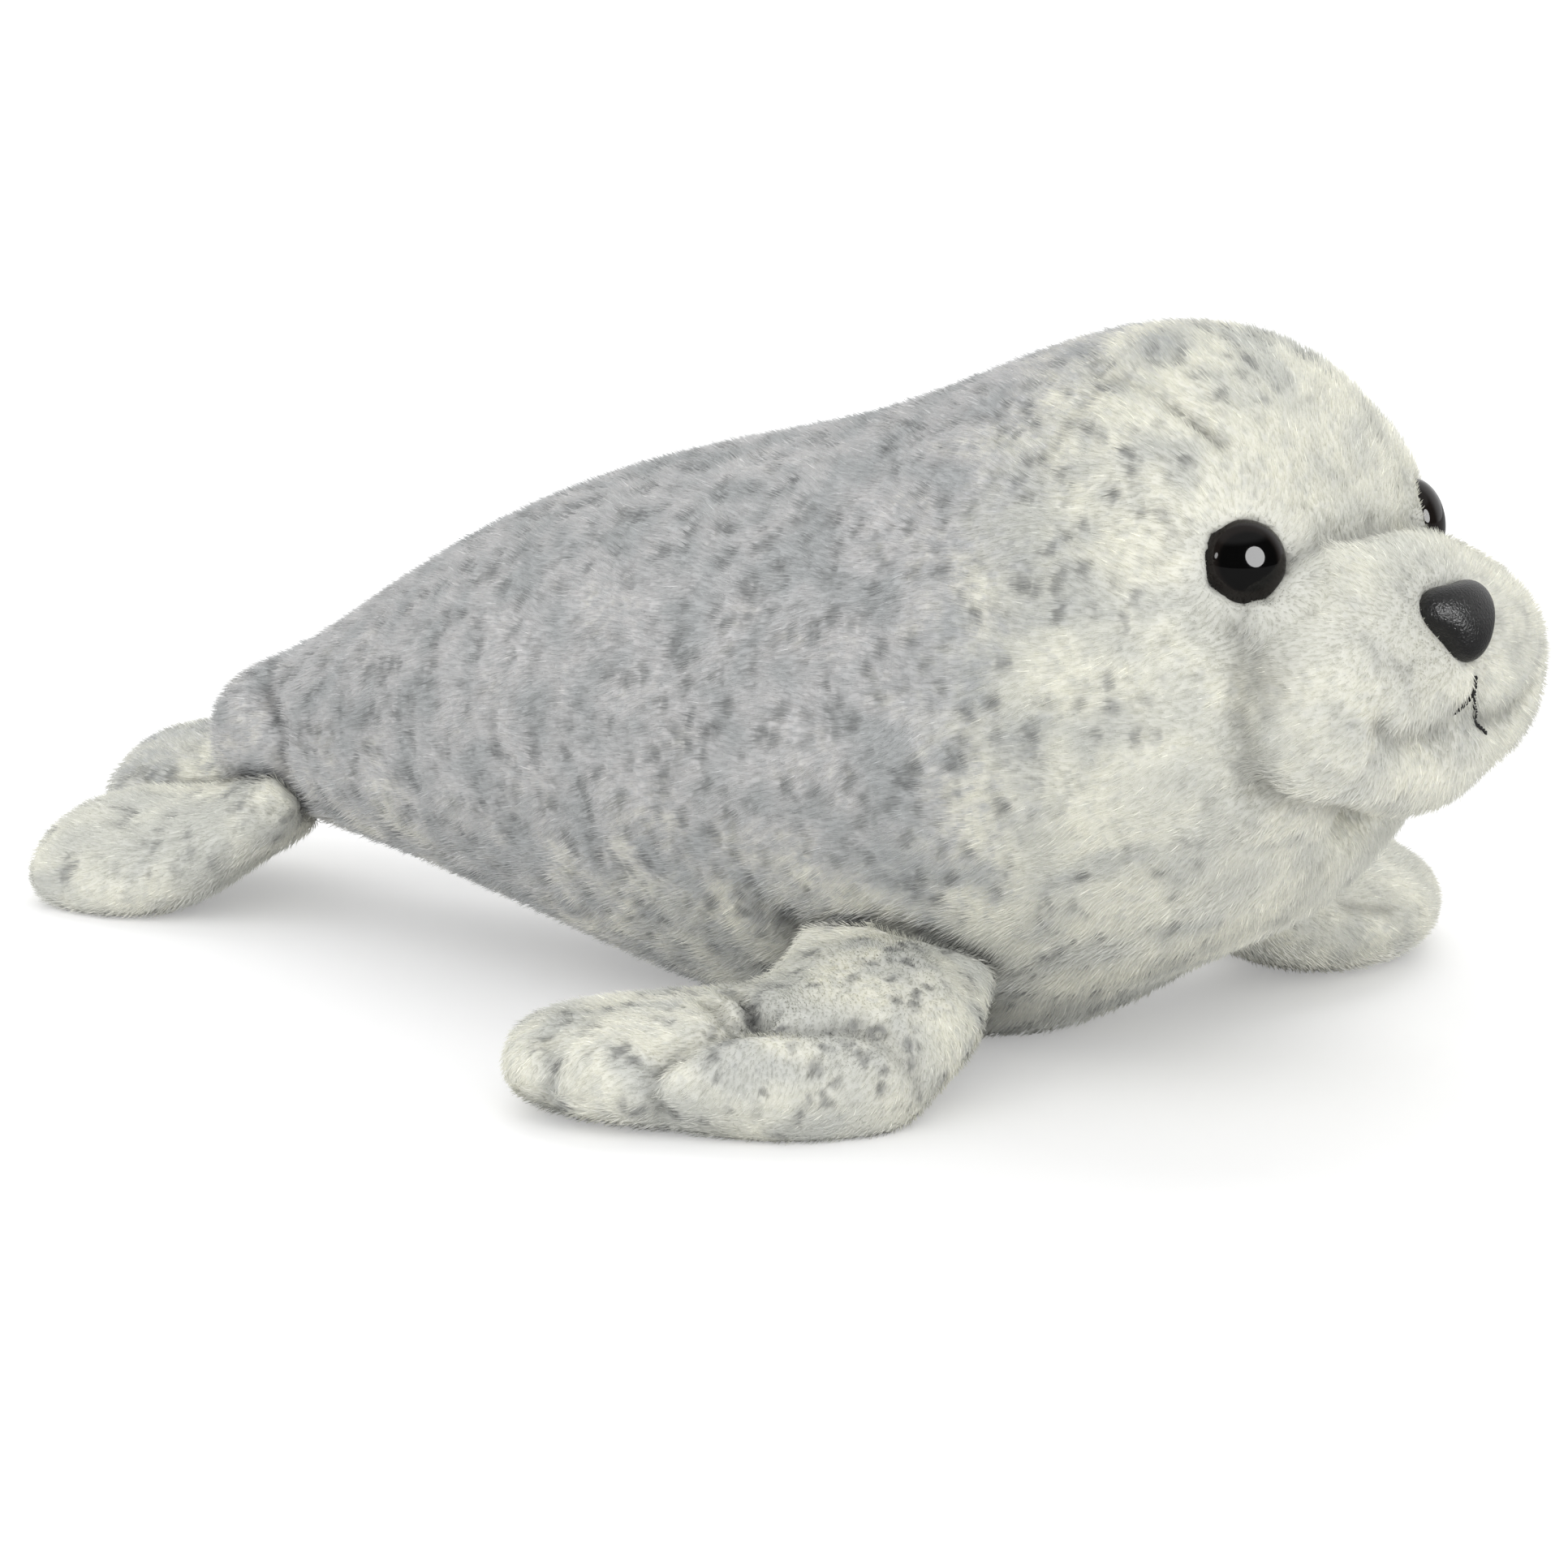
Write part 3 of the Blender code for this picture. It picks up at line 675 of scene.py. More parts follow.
@dataclass
class Hide:
    """A plush skin over one stuffed form, and the pile that grows on it."""

    name: str
    node: str
    voxel: float
    smoothing: int
    view: PhotoView
    creases: tuple = ()
    dents: tuple = ()
    pressure: float = 3.0
    stretch_stiffness: float = 18.0
    bend_stiffness: float = 1.5
    swell_limit: float = 0.0015
    fullness: float = 0.0010
    # The two cores set how narrow the painted shade is in a crease and in a dent.
    crease_shade_core: float = 0.7
    dent_shade_core: float = 0.6
    piece: bpy.types.Object | None = None

    def copy_form(self, source: bpy.types.Object, plugs: tuple = ()) -> None:
        """Copies the frame's solid, fills its fittings' rooms and remeshes it evenly.

        Args:
            source: The frame's node.
            plugs: Fittings, each with the radius, depth and height of the room to fill.
        """
        shape = bmesh.new()
        shape.from_mesh(source.data)
        bmesh.ops.remove_doubles(shape, verts=shape.verts, dist=SAME_POINT)
        for fitting, radius, depth, height in plugs:
            middle = Matrix.Translation((0.0, 0.0, 0.5 * (height - depth)))
            bmesh.ops.create_cone(
                shape, cap_ends=True, segments=48, radius1=radius, radius2=radius,
                depth=height + depth, matrix=fitting.matrix() @ middle,
            )
        self.piece = link_object(self.name, made_mesh(self.name, shape))
        remesh = self.piece.modifiers.new("Remesh", "REMESH")
        remesh.mode = "VOXEL"
        remesh.voxel_size = self.voxel
        apply_modifiers(self.piece)

    def form(self, source: bpy.types.Object, plugs: tuple = ()) -> None:
        """Makes the skin: copied, evened, swelled by its filling, refined and creased.

        Args:
            source: The frame's node.
            plugs: Fittings, each with the radius, depth and height of the room to fill.
        """
        self.copy_form(source, plugs)
        self.relax(self.smoothing)
        self.inflate(self.sewn_weights())
        self.subdivide()
        self.sculpt()

    def relax(self, rounds: int, share: float = 0.5) -> None:
        """Evens the surface by moving each point towards its neighbours.

        Args:
            rounds: How many times.
            share: How far each time.
        """
        mesh = self.piece.data
        pairs = np.empty(len(mesh.edges) * 2, int)
        mesh.edges.foreach_get("vertices", pairs)
        pairs = pairs.reshape(-1, 2)
        both = np.concatenate([pairs, pairs[:, ::-1]])
        count = np.bincount(both[:, 0], minlength=len(mesh.vertices))[:, None]
        points = read_points(mesh)
        for _round in range(rounds):
            total = np.stack([
                np.bincount(both[:, 0], weights=points[both[:, 1], axis], minlength=len(points))
                for axis in range(3)
            ], axis=1)
            points = points + share * (total / np.maximum(count, 1) - points)
        write_points(mesh, points)

    def places(self, pixels: tuple, both_sides: bool) -> list[np.ndarray]:
        """Finds where pixels of the photograph lie on the skin, as even runs of points.

        Args:
            pixels: The pixels along a line.
            both_sides: Whether the same line is wanted on the far side too.

        Returns:
            One array of points for each side.
        """
        tree = surface_tree(self.piece.data)
        origin = self.view.eye_point()
        corners = []
        for pixel in pixels:
            spot = tree.ray_cast(origin, self.view.ray(pixel))[0]
            if spot is not None:
                corners.append(np.array(spot))
        if not corners:
            LOG.warning("%s: no pixel of %s meets the skin", self.name, pixels)
            return []
        runs = [self.resampled(np.array(corners), tree)]
        if both_sides:
            mirrored = np.array(corners) * (1.0, -1.0, 1.0) + (0.0, 2.0 * self.view.middle, 0.0)
            runs.append(self.resampled(mirrored, tree))
        return runs

    @staticmethod
    def resampled(corners: np.ndarray, tree: BVHTree, spacing: float = 0.0012) -> np.ndarray:
        """Lays points evenly along a line and onto the skin.

        Args:
            corners: The line's corners.
            tree: The skin's search tree.
            spacing: The distance between points.

        Returns:
            The points.
        """
        if len(corners) == 1:
            return corners
        lengths = np.linalg.norm(np.diff(corners, axis=0), axis=1)
        along = np.concatenate([[0.0], np.cumsum(lengths)])
        wanted = np.linspace(0.0, along[-1], max(2, int(along[-1] / spacing)))
        line = np.stack([np.interp(wanted, along, corners[:, axis]) for axis in range(3)], axis=1)
        return np.array([tree.find_nearest(Vector(point))[0] for point in line])

    def inflate(self, pinned: np.ndarray, frames: int = 14) -> None:
        """Lets the filling press the skin outwards between its sewn lines, as simulated cloth.

        Args:
            pinned: How firmly each point is held, 0 to 1.
            frames: How many steps the cloth gets.
        """
        piece = self.piece
        before = read_points(piece.data)
        group = piece.vertex_groups.new(name="sewn")
        for index, weight in enumerate(pinned):
            if weight > 0.01:
                group.add([index], float(weight), "REPLACE")
        cloth = piece.modifiers.new("Cloth", "CLOTH")
        settings = cloth.settings
        settings.vertex_group_mass = group.name
        settings.use_pressure = True
        settings.uniform_pressure_force = self.pressure
        settings.effector_weights.gravity = 0.0
        settings.tension_stiffness = self.stretch_stiffness
        settings.compression_stiffness = self.stretch_stiffness
        settings.bending_stiffness = self.bend_stiffness
        cloth.point_cache.frame_start = 1
        cloth.point_cache.frame_end = frames
        scene = bpy.context.scene
        for frame in range(1, frames + 1):
            scene.frame_set(frame)
        after = read_points(applied_mesh(piece))
        piece.modifiers.clear()
        piece.vertex_groups.clear()
        scene.frame_set(1)
        moved = after - before
        length = np.maximum(np.linalg.norm(moved, axis=1, keepdims=True), 1e-9)
        moved *= np.minimum(1.0, self.swell_limit / length)
        write_points(piece.data, before + moved)

    def sewn_weights(self) -> np.ndarray:
        """Finds how firmly each point is held by the sewn lines."""
        points = read_points(self.piece.data)
        held = np.zeros(len(points))
        for crease in self.creases:
            for run in self.places(crease.pixels, crease.both_sides):
                away = self.distances(points, run)
                held = np.maximum(held, smooth_step(away, 2.0 * self.voxel, self.voxel))
        return held

    @staticmethod
    def distances(points: np.ndarray, run: np.ndarray) -> np.ndarray:
        """Measures how far points are from a run of points.

        Args:
            points: The points to measure.
            run: The run.

        Returns:
            One distance for each point.
        """
        nearest = np.full(len(points), np.inf)
        for spot in run:
            nearest = np.minimum(nearest, np.linalg.norm(points - spot, axis=1))
        return nearest

    def subdivide(self) -> None:
        """Doubles the fineness of the skin."""
        modifier = self.piece.modifiers.new("Fineness", "SUBSURF")
        modifier.levels = 1
        modifier.render_levels = 1
        apply_modifiers(self.piece)

    def sculpt(self) -> None:
        """Presses the creases and dents into the skin, and notes how deep each point lies in a fold, which
        shortens the pile there and darkens the colour as painted shade.
        """
        mesh = self.piece.data
        points = read_points(mesh)
        normals = read_normals(mesh)
        inward = np.full(len(points), -self.fullness)
        fold = np.zeros(len(points))
        marks = [(line.pixels, line.width, self.crease_shade_core, line) for line in self.creases]
        marks += [((dent.pixel,), dent.radius, self.dent_shade_core, dent) for dent in self.dents]
        for pixels, reach, shade_core, mark in marks:
            for run in self.places(pixels, mark.both_sides):
                away = self.distances(points, run)
                inward += mark.depth * np.exp(-((away / reach) ** 2))
                fold = np.maximum(fold, mark.shade * np.exp(-((away / (shade_core * reach)) ** 2)))
        write_points(mesh, points - normals * inward[:, None])
        self.store("fold", fold)

    def shade_contact(self, others: list["Hide"], reach: float = 0.0042, shade: float = 0.80) -> None:
        """Notes the skin close to other skins as lying in a fold, which paints shade into its colour where the
        parts meet.

        Args:
            others: The other skins.
            reach: How near they must be.
            shade: How deep the fold counts where they touch, as painted shade.
        """
        points = read_points(self.piece.data)
        fold = self.read("fold")
        for other in others:
            theirs = read_points(other.piece.data)
            tree = surface_tree(other.piece.data)
            over = points > theirs.min(axis=0) - reach
            under = points < theirs.max(axis=0) + reach
            for index in np.flatnonzero(np.all(over & under, axis=1)):
                distance = tree.find_nearest(Vector(points[index]), reach)[3]
                if distance is not None:
                    fold[index] = max(fold[index], shade * (1.0 - distance / reach))
        self.store("fold", fold)

    def store(self, name: str, values: np.ndarray) -> None:
        """Keeps a number or a vector for each point of the skin.

        Args:
            name: The attribute's name.
            values: One value, or one row of three, for each point.
        """
        kind = "FLOAT" if values.ndim == 1 else "FLOAT_VECTOR"
        field_name = "value" if values.ndim == 1 else "vector"
        mesh = self.piece.data
        kept = mesh.attributes.get(name) or mesh.attributes.new(name, kind, "POINT")
        kept.data.foreach_set(field_name, values.astype(np.float32).ravel())

    def read(self, name: str) -> np.ndarray:
        """Reads back a number kept for each point.

        Args:
            name: The attribute's name.

        Returns:
            One value for each point.
        """
        kept = self.piece.data.attributes[name]
        values = np.empty(len(kept.data))
        kept.data.foreach_get("value", values)
        return values

    def comb(self, flow: np.ndarray) -> None:
        """Keeps which way the pile lies at each point, with slow swirls.

        Args:
            flow: The way that it would lie without them, one row for each point.
        """
        points = read_points(self.piece.data)
        normals = read_normals(self.piece.data)
        along = unit(flow - normals * (flow * normals).sum(axis=1, keepdims=True))
        turn = np.sin(points @ np.array(SWIRL_WAVES) + SWIRL_STARTS) @ np.array(SWIRL_TURNS)
        aside = np.cross(normals, along)
        self.store("comb", unit(along * np.cos(turn)[:, None] + aside * np.sin(turn)[:, None]))

    def underside(self, high: float, low: float) -> np.ndarray:
        """Finds how much of each point faces down near the floor."""
        down = smooth_step(-read_normals(self.piece.data)[:, 2], 0.75, 0.97)
        return down * smooth_step(read_points(self.piece.data)[:, 2], high, low)

    def above_floor(self, lowest: float = 0.0003) -> None:
        """Flattens what would reach through the floor.

        Args:
            lowest: The height that nothing goes under.
        """
        points = read_points(self.piece.data)
        points[:, 2] = np.maximum(points[:, 2], lowest)
        write_points(self.piece.data, points)


@dataclass(frozen=True)
class Pile:
    """The plush's pile: short strands, combed over, planted all over a skin."""

    pattern: SpottedPattern
    strands_per_square_metre: float = 1.32e6
    length: float = 0.0030
    width: float = 0.00022
    lean: float = math.radians(60.0)
    lean_spread: float = math.radians(13.0)
    stray: float = 0.12
    shortest: float = 0.72
    longest: float = 1.22
    tone_spread: float = 0.09
    # A few strands get a lighter colour as painted glints, a painted highlight.
    painted_glints: float = 0.05
    painted_glint_tone: float = 0.5
    # fold_shade sets how much painted shade darkens a strand in a fold.
    fold_shade: float = 0.72
    lowest: float = 0.0002

    def strand(self) -> bpy.types.Object:
        """Makes one strand along Z, one long and one wide: a slim closed form with a raised back.

        Returns:
            The strand.
        """
        mesh = bpy.data.meshes.new("strand")
        points = ((-0.5, 0.0, 0.0), (0.5, 0.0, 0.0), (0.0, 0.55, 0.42), (0.0, -0.35, 1.0))
        faces = ((0, 1, 2), (1, 3, 2), (3, 0, 2), (0, 3, 1))
        mesh.from_pydata(points, [], faces)
        face_outward(mesh)
        tip = mesh.attributes.new("tip", "FLOAT", "POINT")
        tip.data.foreach_set("value", [0.0, 0.0, 0.45, 1.0])
        return link_object("strand", mesh)

    def tree(self) -> bpy.types.NodeTree:
        """Makes the node tree that plants the strands.

        Returns:
            The tree.
        """
        tree = bpy.data.node_groups.new("plush_pile", "GeometryNodeTree")
        face = tree.interface
        face.new_socket("Skin", in_out="INPUT", socket_type="NodeSocketGeometry")
        for name in ("Density", "Length", "Width", "Lean", "Lean Spread", "Stray"):
            face.new_socket(name, in_out="INPUT", socket_type="NodeSocketFloat")
        face.new_socket("Seed", in_out="INPUT", socket_type="NodeSocketInt")
        face.new_socket("Strand", in_out="INPUT", socket_type="NodeSocketObject")
        face.new_socket("Finish", in_out="INPUT", socket_type="NodeSocketMaterial")
        face.new_socket("Pile", in_out="OUTPUT", socket_type="NodeSocketGeometry")
        graph = Graph(tree)
        given = graph.add("NodeGroupInput").outputs
        density = graph.times(given["Density"], self.attribute(graph, "cover"))
        planted = graph.add("GeometryNodeDistributePointsOnFaces", {
            "Mesh": given["Skin"], "Density": density, "Seed": given["Seed"],
        }, distribute_method="RANDOM")
        printed = graph.add("GeometryNodeStoreNamedAttribute", {
            "Geometry": planted.outputs["Points"], "Name": "print", "Value": self.tinted(graph, given["Seed"]),
        }, data_type="FLOAT_COLOR")
        varied = self.random(graph, self.shortest, self.longest, given["Seed"], 3)
        share = graph.times(self.attribute(graph, "pile"), varied)
        size = graph.add("ShaderNodeCombineXYZ", {
            0: given["Width"], 1: given["Width"], 2: graph.times(given["Length"], share),
        })
        shape = graph.add("GeometryNodeObjectInfo", {"Object": given["Strand"]})
        grown = graph.add("GeometryNodeInstanceOnPoints", {
            "Points": printed.outputs[0], "Instance": shape.outputs["Geometry"],
            "Rotation": self.rotation(graph, given, planted.outputs["Normal"]), "Scale": size.outputs[0],
        })
        real = graph.add("GeometryNodeRealizeInstances", {0: grown.outputs[0]})
        finished = graph.add("GeometryNodeSetMaterial", {
            "Geometry": real.outputs[0], "Material": given["Finish"],
        })
        graph.add("NodeGroupOutput", {"Pile": finished.outputs[0]})
        return tree

    def tinted(self, graph: Graph, seed: object) -> bpy.types.NodeSocket:
        """Adds each strand's colour: the print at its root, varied at random, lightened in a few strands as a
        painted highlight, and darkened by painted shade in a fold.

        Args:
            graph: The tree to add to.
            seed: The tree's seed.

        Returns:
            The colour.
        """
        place = graph.add("GeometryNodeInputPosition").outputs[0]
        saddle, spots = self.attribute(graph, "saddle"), self.attribute(graph, "spots")
        colour = self.pattern.colour(graph, place, saddle, spots)
        tone_and_painted_glint = self.random(graph, 1.0 - self.tone_spread, 1.0 + self.tone_spread, seed, 1)
        # Painted highlight: a few strands are lighter, as glints.
        glint = graph.step(self.random(graph, 0.0, 1.0, seed, 4), 1.0 - self.painted_glints, 1.0)
        tone_and_painted_glint = graph.plus(tone_and_painted_glint, graph.times(glint, self.painted_glint_tone))
        # Painted shade: darker in folds and where parts meet.
        painted_shade = graph.times(self.attribute(graph, "fold"), self.fold_shade)
        return graph.scaled(colour, graph.maths("SUBTRACT", tone_and_painted_glint, painted_shade))

    def rotation(self, graph: Graph, given: object, normal: object) -> bpy.types.NodeSocket:
        """Adds each strand's rotation: leant over along the comb, with its back to the outside.

        Args:
            graph: The tree to add to.
            given: The tree's inputs.
            normal: The skin's normal at the root.

        Returns:
            The rotation.
        """
        spread = self.random(graph, -1.0, 1.0, given["Seed"], 2)
        lean = graph.plus(given["Lean"], graph.times(spread, given["Lean Spread"]))
        upright = graph.scaled(normal, graph.maths("COSINE", lean))
        over = graph.scaled(self.attribute(graph, "comb", "FLOAT_VECTOR"), graph.maths("SINE", lean))
        stray = graph.add("FunctionNodeRandomValue", {
            0: (-1.0, -1.0, -1.0), 1: (1.0, 1.0, 1.0), "Seed": given["Seed"],
        }, data_type="FLOAT_VECTOR")
        aside = graph.scaled(stray.outputs[0], given["Stray"])
        heading = graph.vectors("ADD", graph.vectors("ADD", upright, over), aside)
        along = graph.add("FunctionNodeAlignRotationToVector", {"Vector": heading}, axis="Z")
        turned = graph.add("FunctionNodeAlignRotationToVector", {
            "Rotation": along.outputs[0], "Vector": normal,
        }, axis="Y", pivot_axis="Z")
        return turned.outputs[0]

    @staticmethod
    def attribute(graph: Graph, name: str, kind: str = "FLOAT") -> bpy.types.NodeSocket:
        """Adds a read of a value kept on the skin."""
        node = graph.add("GeometryNodeInputNamedAttribute", {"Name": name}, data_type=kind)
        return node.outputs["Attribute"]

    @staticmethod
    def random(graph: Graph, low: float, high: float, seed: object, step: int) -> bpy.types.NodeSocket:
        """Adds a random number for each strand."""
        inputs = {2: low, 3: high, "Seed": graph.plus(seed, float(step))}
        return graph.add("FunctionNodeRandomValue", inputs, data_type="FLOAT").outputs[1]

    def grow(
        self, tree: bpy.types.NodeTree, strand: bpy.types.Object, hide: Hide,
        name: str, finish: bpy.types.Material, seed: int, share: np.ndarray | None = None,
    ) -> bpy.types.Object:
        """Grows the pile of one skin, or of the part of it where share is above zero.

        Args:
            tree: The node tree that plants strands.
            strand: The strand to plant.
            hide: The skin.
            name: The new piece's name.
            finish: The pile's material.
            seed: The seed of its random values.
            share: How much of the full density each point of the skin gets.

        Returns:
            The pile as one plain mesh.
        """
        cover = np.ones(len(hide.piece.data.vertices)) if share is None else share
        hide.store("cover", cover * hide.read("density"))
        bed = link_object(name, hide.piece.data.copy())
        modifier = bed.modifiers.new("Pile", "NODES")
        modifier.node_group = tree
        values = {
            "Density": self.strands_per_square_metre, "Length": self.length, "Width": self.width,
            "Lean": self.lean, "Lean Spread": self.lean_spread, "Stray": self.stray,
            "Seed": seed, "Strand": strand, "Finish": finish,
        }
        for socket in tree.interface.items_tree:
            if socket.item_type == "SOCKET" and socket.name in values:
                modifier[socket.identifier] = values[socket.name]
        apply_modifiers(bed)
        points = read_points(bed.data)
        points[:, 2] = np.maximum(points[:, 2], self.lowest)
        write_points(bed.data, points)
        self.lay_out(bed.data)
        for attribute in ("cover", "comb", "pile", "density", "saddle", "spots", "fold"):
            kept = bed.data.attributes.get(attribute)
            if kept is not None:
                bed.data.attributes.remove(kept)
        return bed

    @staticmethod
    def lay_out(mesh: bpy.types.Mesh) -> None:
        """Gives every triangle of the pile its own place on one even map.

        Args:
            mesh: The pile's mesh.
        """
        pairs = (len(mesh.polygons) + 1) // 2
        cells = max(1, math.ceil(math.sqrt(pairs)))
        index = np.arange(len(mesh.polygons))
        column = (index // 2) % cells
        row = (index // 2) // cells
        lower = np.array(((0.06, 0.06), (0.86, 0.06), (0.06, 0.86)))
        corners = np.where((index % 2 == 0)[:, None, None], lower, 1.0 - lower)
        places = (corners + np.stack([column, row], axis=1)[:, None, :]) / cells
        layer = mesh.uv_layers.new(name="OFBake")
        layer.data.foreach_set("uv", places.astype(np.float32).ravel())


@dataclass
class EyePiece:
    """A polished safety eye: a round dome with a low rim, on its stem."""

    side: Side
    fitting: Fitting
    dome: float = 0.0070
    rim: float = 0.0012
    edge: float = 0.0002
    ring_start: float = 0.66
    ring_end: float = 0.76
    segments: int = 72
    rings: int = 24

    def profile(self) -> list[tuple[float, float]]:
        """Returns the turned outline, from the dome's top to the stem's end."""
        radius = self.fitting.radius
        rise = self.dome - self.rim
        points = []
        for index in range(self.rings):
            angle = 0.5 * math.pi * index / (self.rings - 1)
            points.append((radius * math.sin(angle), self.rim + rise * math.cos(angle)))
        points += [(radius, self.edge), (radius - self.edge, 0.0), (STEM_RADIUS, 0.0)]
        points += [(STEM_RADIUS, -STEM_LENGTH), (0.0, -STEM_LENGTH)]
        return points

    def build(self, finish: bpy.types.Material) -> bpy.types.Object:
        """Turns the eye.

        Args:
            finish: The polished plastic.

        Returns:
            The eye.
        """
        name = f"{self.side.name.lower()}_eye_ball"
        mesh = turned_mesh(name, self.profile(), self.segments, self.fitting.matrix())
        piece = link_object(name, mesh)
        away = self.fitting.local(read_points(mesh))[0] / self.fitting.radius
        ring = smooth_step(away, self.ring_start, self.ring_end)
        kept = piece.data.attributes.new("ring", "FLOAT", "POINT")
        kept.data.foreach_set("value", ring.astype(np.float32))
        dress(piece, finish, SHARP_ANGLE)
        return piece


def loft(shape: bmesh.types.BMesh, rings: list, steps: int) -> None:
    """Joins rings of points with faces that look outward.

    Args:
        shape: The shape to add to.
        rings: The rings in order, where a pole is a ring of one point.
        steps: How many points a whole ring has.
    """
    for upper, lower in zip(rings, rings[1:]):
        for index in range(steps):
            following = (index + 1) % steps
            corners = [
                upper[index % len(upper)], lower[index % len(lower)],
                lower[following % len(lower)], upper[following % len(upper)],
            ]
            shape.faces.new(list(dict.fromkeys(corners)))
    bmesh.ops.recalc_face_normals(shape, faces=shape.faces)


def turned_mesh(name: str, profile: list, segments: int, place: Matrix) -> bpy.types.Mesh:
    """Turns a profile about Z into a closed mesh.

    Args:
        name: The mesh's name.
        profile: Points of radius and height, top to bottom, that start and end on the axis.
        segments: How many steps go round.
        place: Where the mesh goes.

    Returns:
        The mesh.
    """
    shape = bmesh.new()
    rings = []
    for radius, height in profile:
        if radius < 1e-7:
            rings.append([shape.verts.new((0.0, 0.0, height))])
            continue
        angles = [2.0 * math.pi * index / segments for index in range(segments)]
        rings.append([shape.verts.new((radius * math.cos(a), radius * math.sin(a), height)) for a in angles])
    loft(shape, rings, segments)
    shape.transform(place)
    return made_mesh(name, shape)


@dataclass
class NosePiece:
    """The moulded nose: a rounded triangle, point down, that domes forward on its stem."""

    fitting: Fitting
    width: float
    height: float
    dome: float
    pointedness: float = 0.16
    lip: float = 0.0012
    roundness: float = 0.8
    sides: int = 60
    rings: int = 18

    @classmethod
    def from_node(cls, fitting: Fitting, node: bpy.types.Object) -> "NosePiece":
        """Reads the nose's size from its node.

        Args:
            fitting: Where the nose sits.
            node: The nose's node.

        Returns:
            The nose, not yet built.
        """
        inward = fitting.matrix().inverted()
        points = np.array([inward @ Vector(point) for point in read_points(node.data)])
        face = points[points[:, 2] > -1e-5]
        width, height = np.ptp(face[:, 0]), np.ptp(face[:, 1])
        return cls(fitting, float(width) / cls.corner_swell(), float(height), float(face[:, 2].max()))

    def beyond(self, points: np.ndarray) -> np.ndarray:
        """Measures how far points lie outside the nose's outline, as seen along its axis.

        Args:
            points: Points as rows.

        Returns:
            One distance for each point, negative inside the outline.
        """
        turn = np.array(self.fitting.matrix().to_3x3())
        flat = (points - np.array(self.fitting.back)) @ turn[:, :2]
        across = flat[:, 0] / (0.5 * self.width)
        upward = flat[:, 1] / (0.5 * self.height)
        swell = 1.0 + self.pointedness * np.sin(3.0 * np.arctan2(upward, across))
        share = np.maximum(np.hypot(across, upward) / swell, 1e-3)
        return np.linalg.norm(flat, axis=1) * (1.0 - 1.0 / share)

    @classmethod
    def corner_swell(cls) -> float:
        """Returns how far the corners reach past half the width."""
        angles = np.linspace(0.0, 0.5 * math.pi, 91)
        return float(((1.0 + cls.pointedness * np.sin(3.0 * angles)) * np.cos(angles)).max())

    def ring(self, share: float) -> list[tuple[float, float]]:
        """Returns the outline's points, scaled by a share."""
        points = []
        for index in range(self.sides):
            angle = 2.0 * math.pi * index / self.sides
            swell = share * (1.0 + self.pointedness * share ** 3 * math.sin(3.0 * angle))
            across = 0.5 * self.width * swell * math.cos(angle)
            points.append((across, 0.5 * self.height * swell * math.sin(angle)))
        return points

    def build(self, finish: bpy.types.Material) -> bpy.types.Object:
        """Lofts the dome from ring to ring, and turns the stem.

        Args:
            finish: The grained plastic.

        Returns:
            The nose.
        """
        shape = bmesh.new()
        sections = [(0.94, 0.0), (0.99, self.lip / 3.0), (1.0, self.lip)]
        for index in range(1, self.rings):
            angle = 0.5 * math.pi * index / self.rings
            height = self.lip + (self.dome - self.lip) * math.sin(angle)
            sections.append((math.cos(angle) ** self.roundness, height))
        rings = [
            [shape.verts.new((*point, height)) for point in self.ring(share)] for share, height in sections
        ]
        low, top = (shape.verts.new((0.0, 0.0, height)) for height in (0.0, self.dome))
        loft(shape, [[low], *rings, [top]], self.sides)
        shape.transform(self.fitting.matrix())
        ends = (0.001, -STEM_LENGTH)
        stem = [(0.0, ends[0]), (STEM_RADIUS, ends[0]), (STEM_RADIUS, ends[1]), (0.0, ends[1])]
        shape.from_mesh(turned_mesh("stem", stem, 24, self.fitting.matrix()))
        piece = link_object("moulded_nose", made_mesh("moulded_nose", shape))
        dress(piece, finish, SHARP_ANGLE)
        return piece


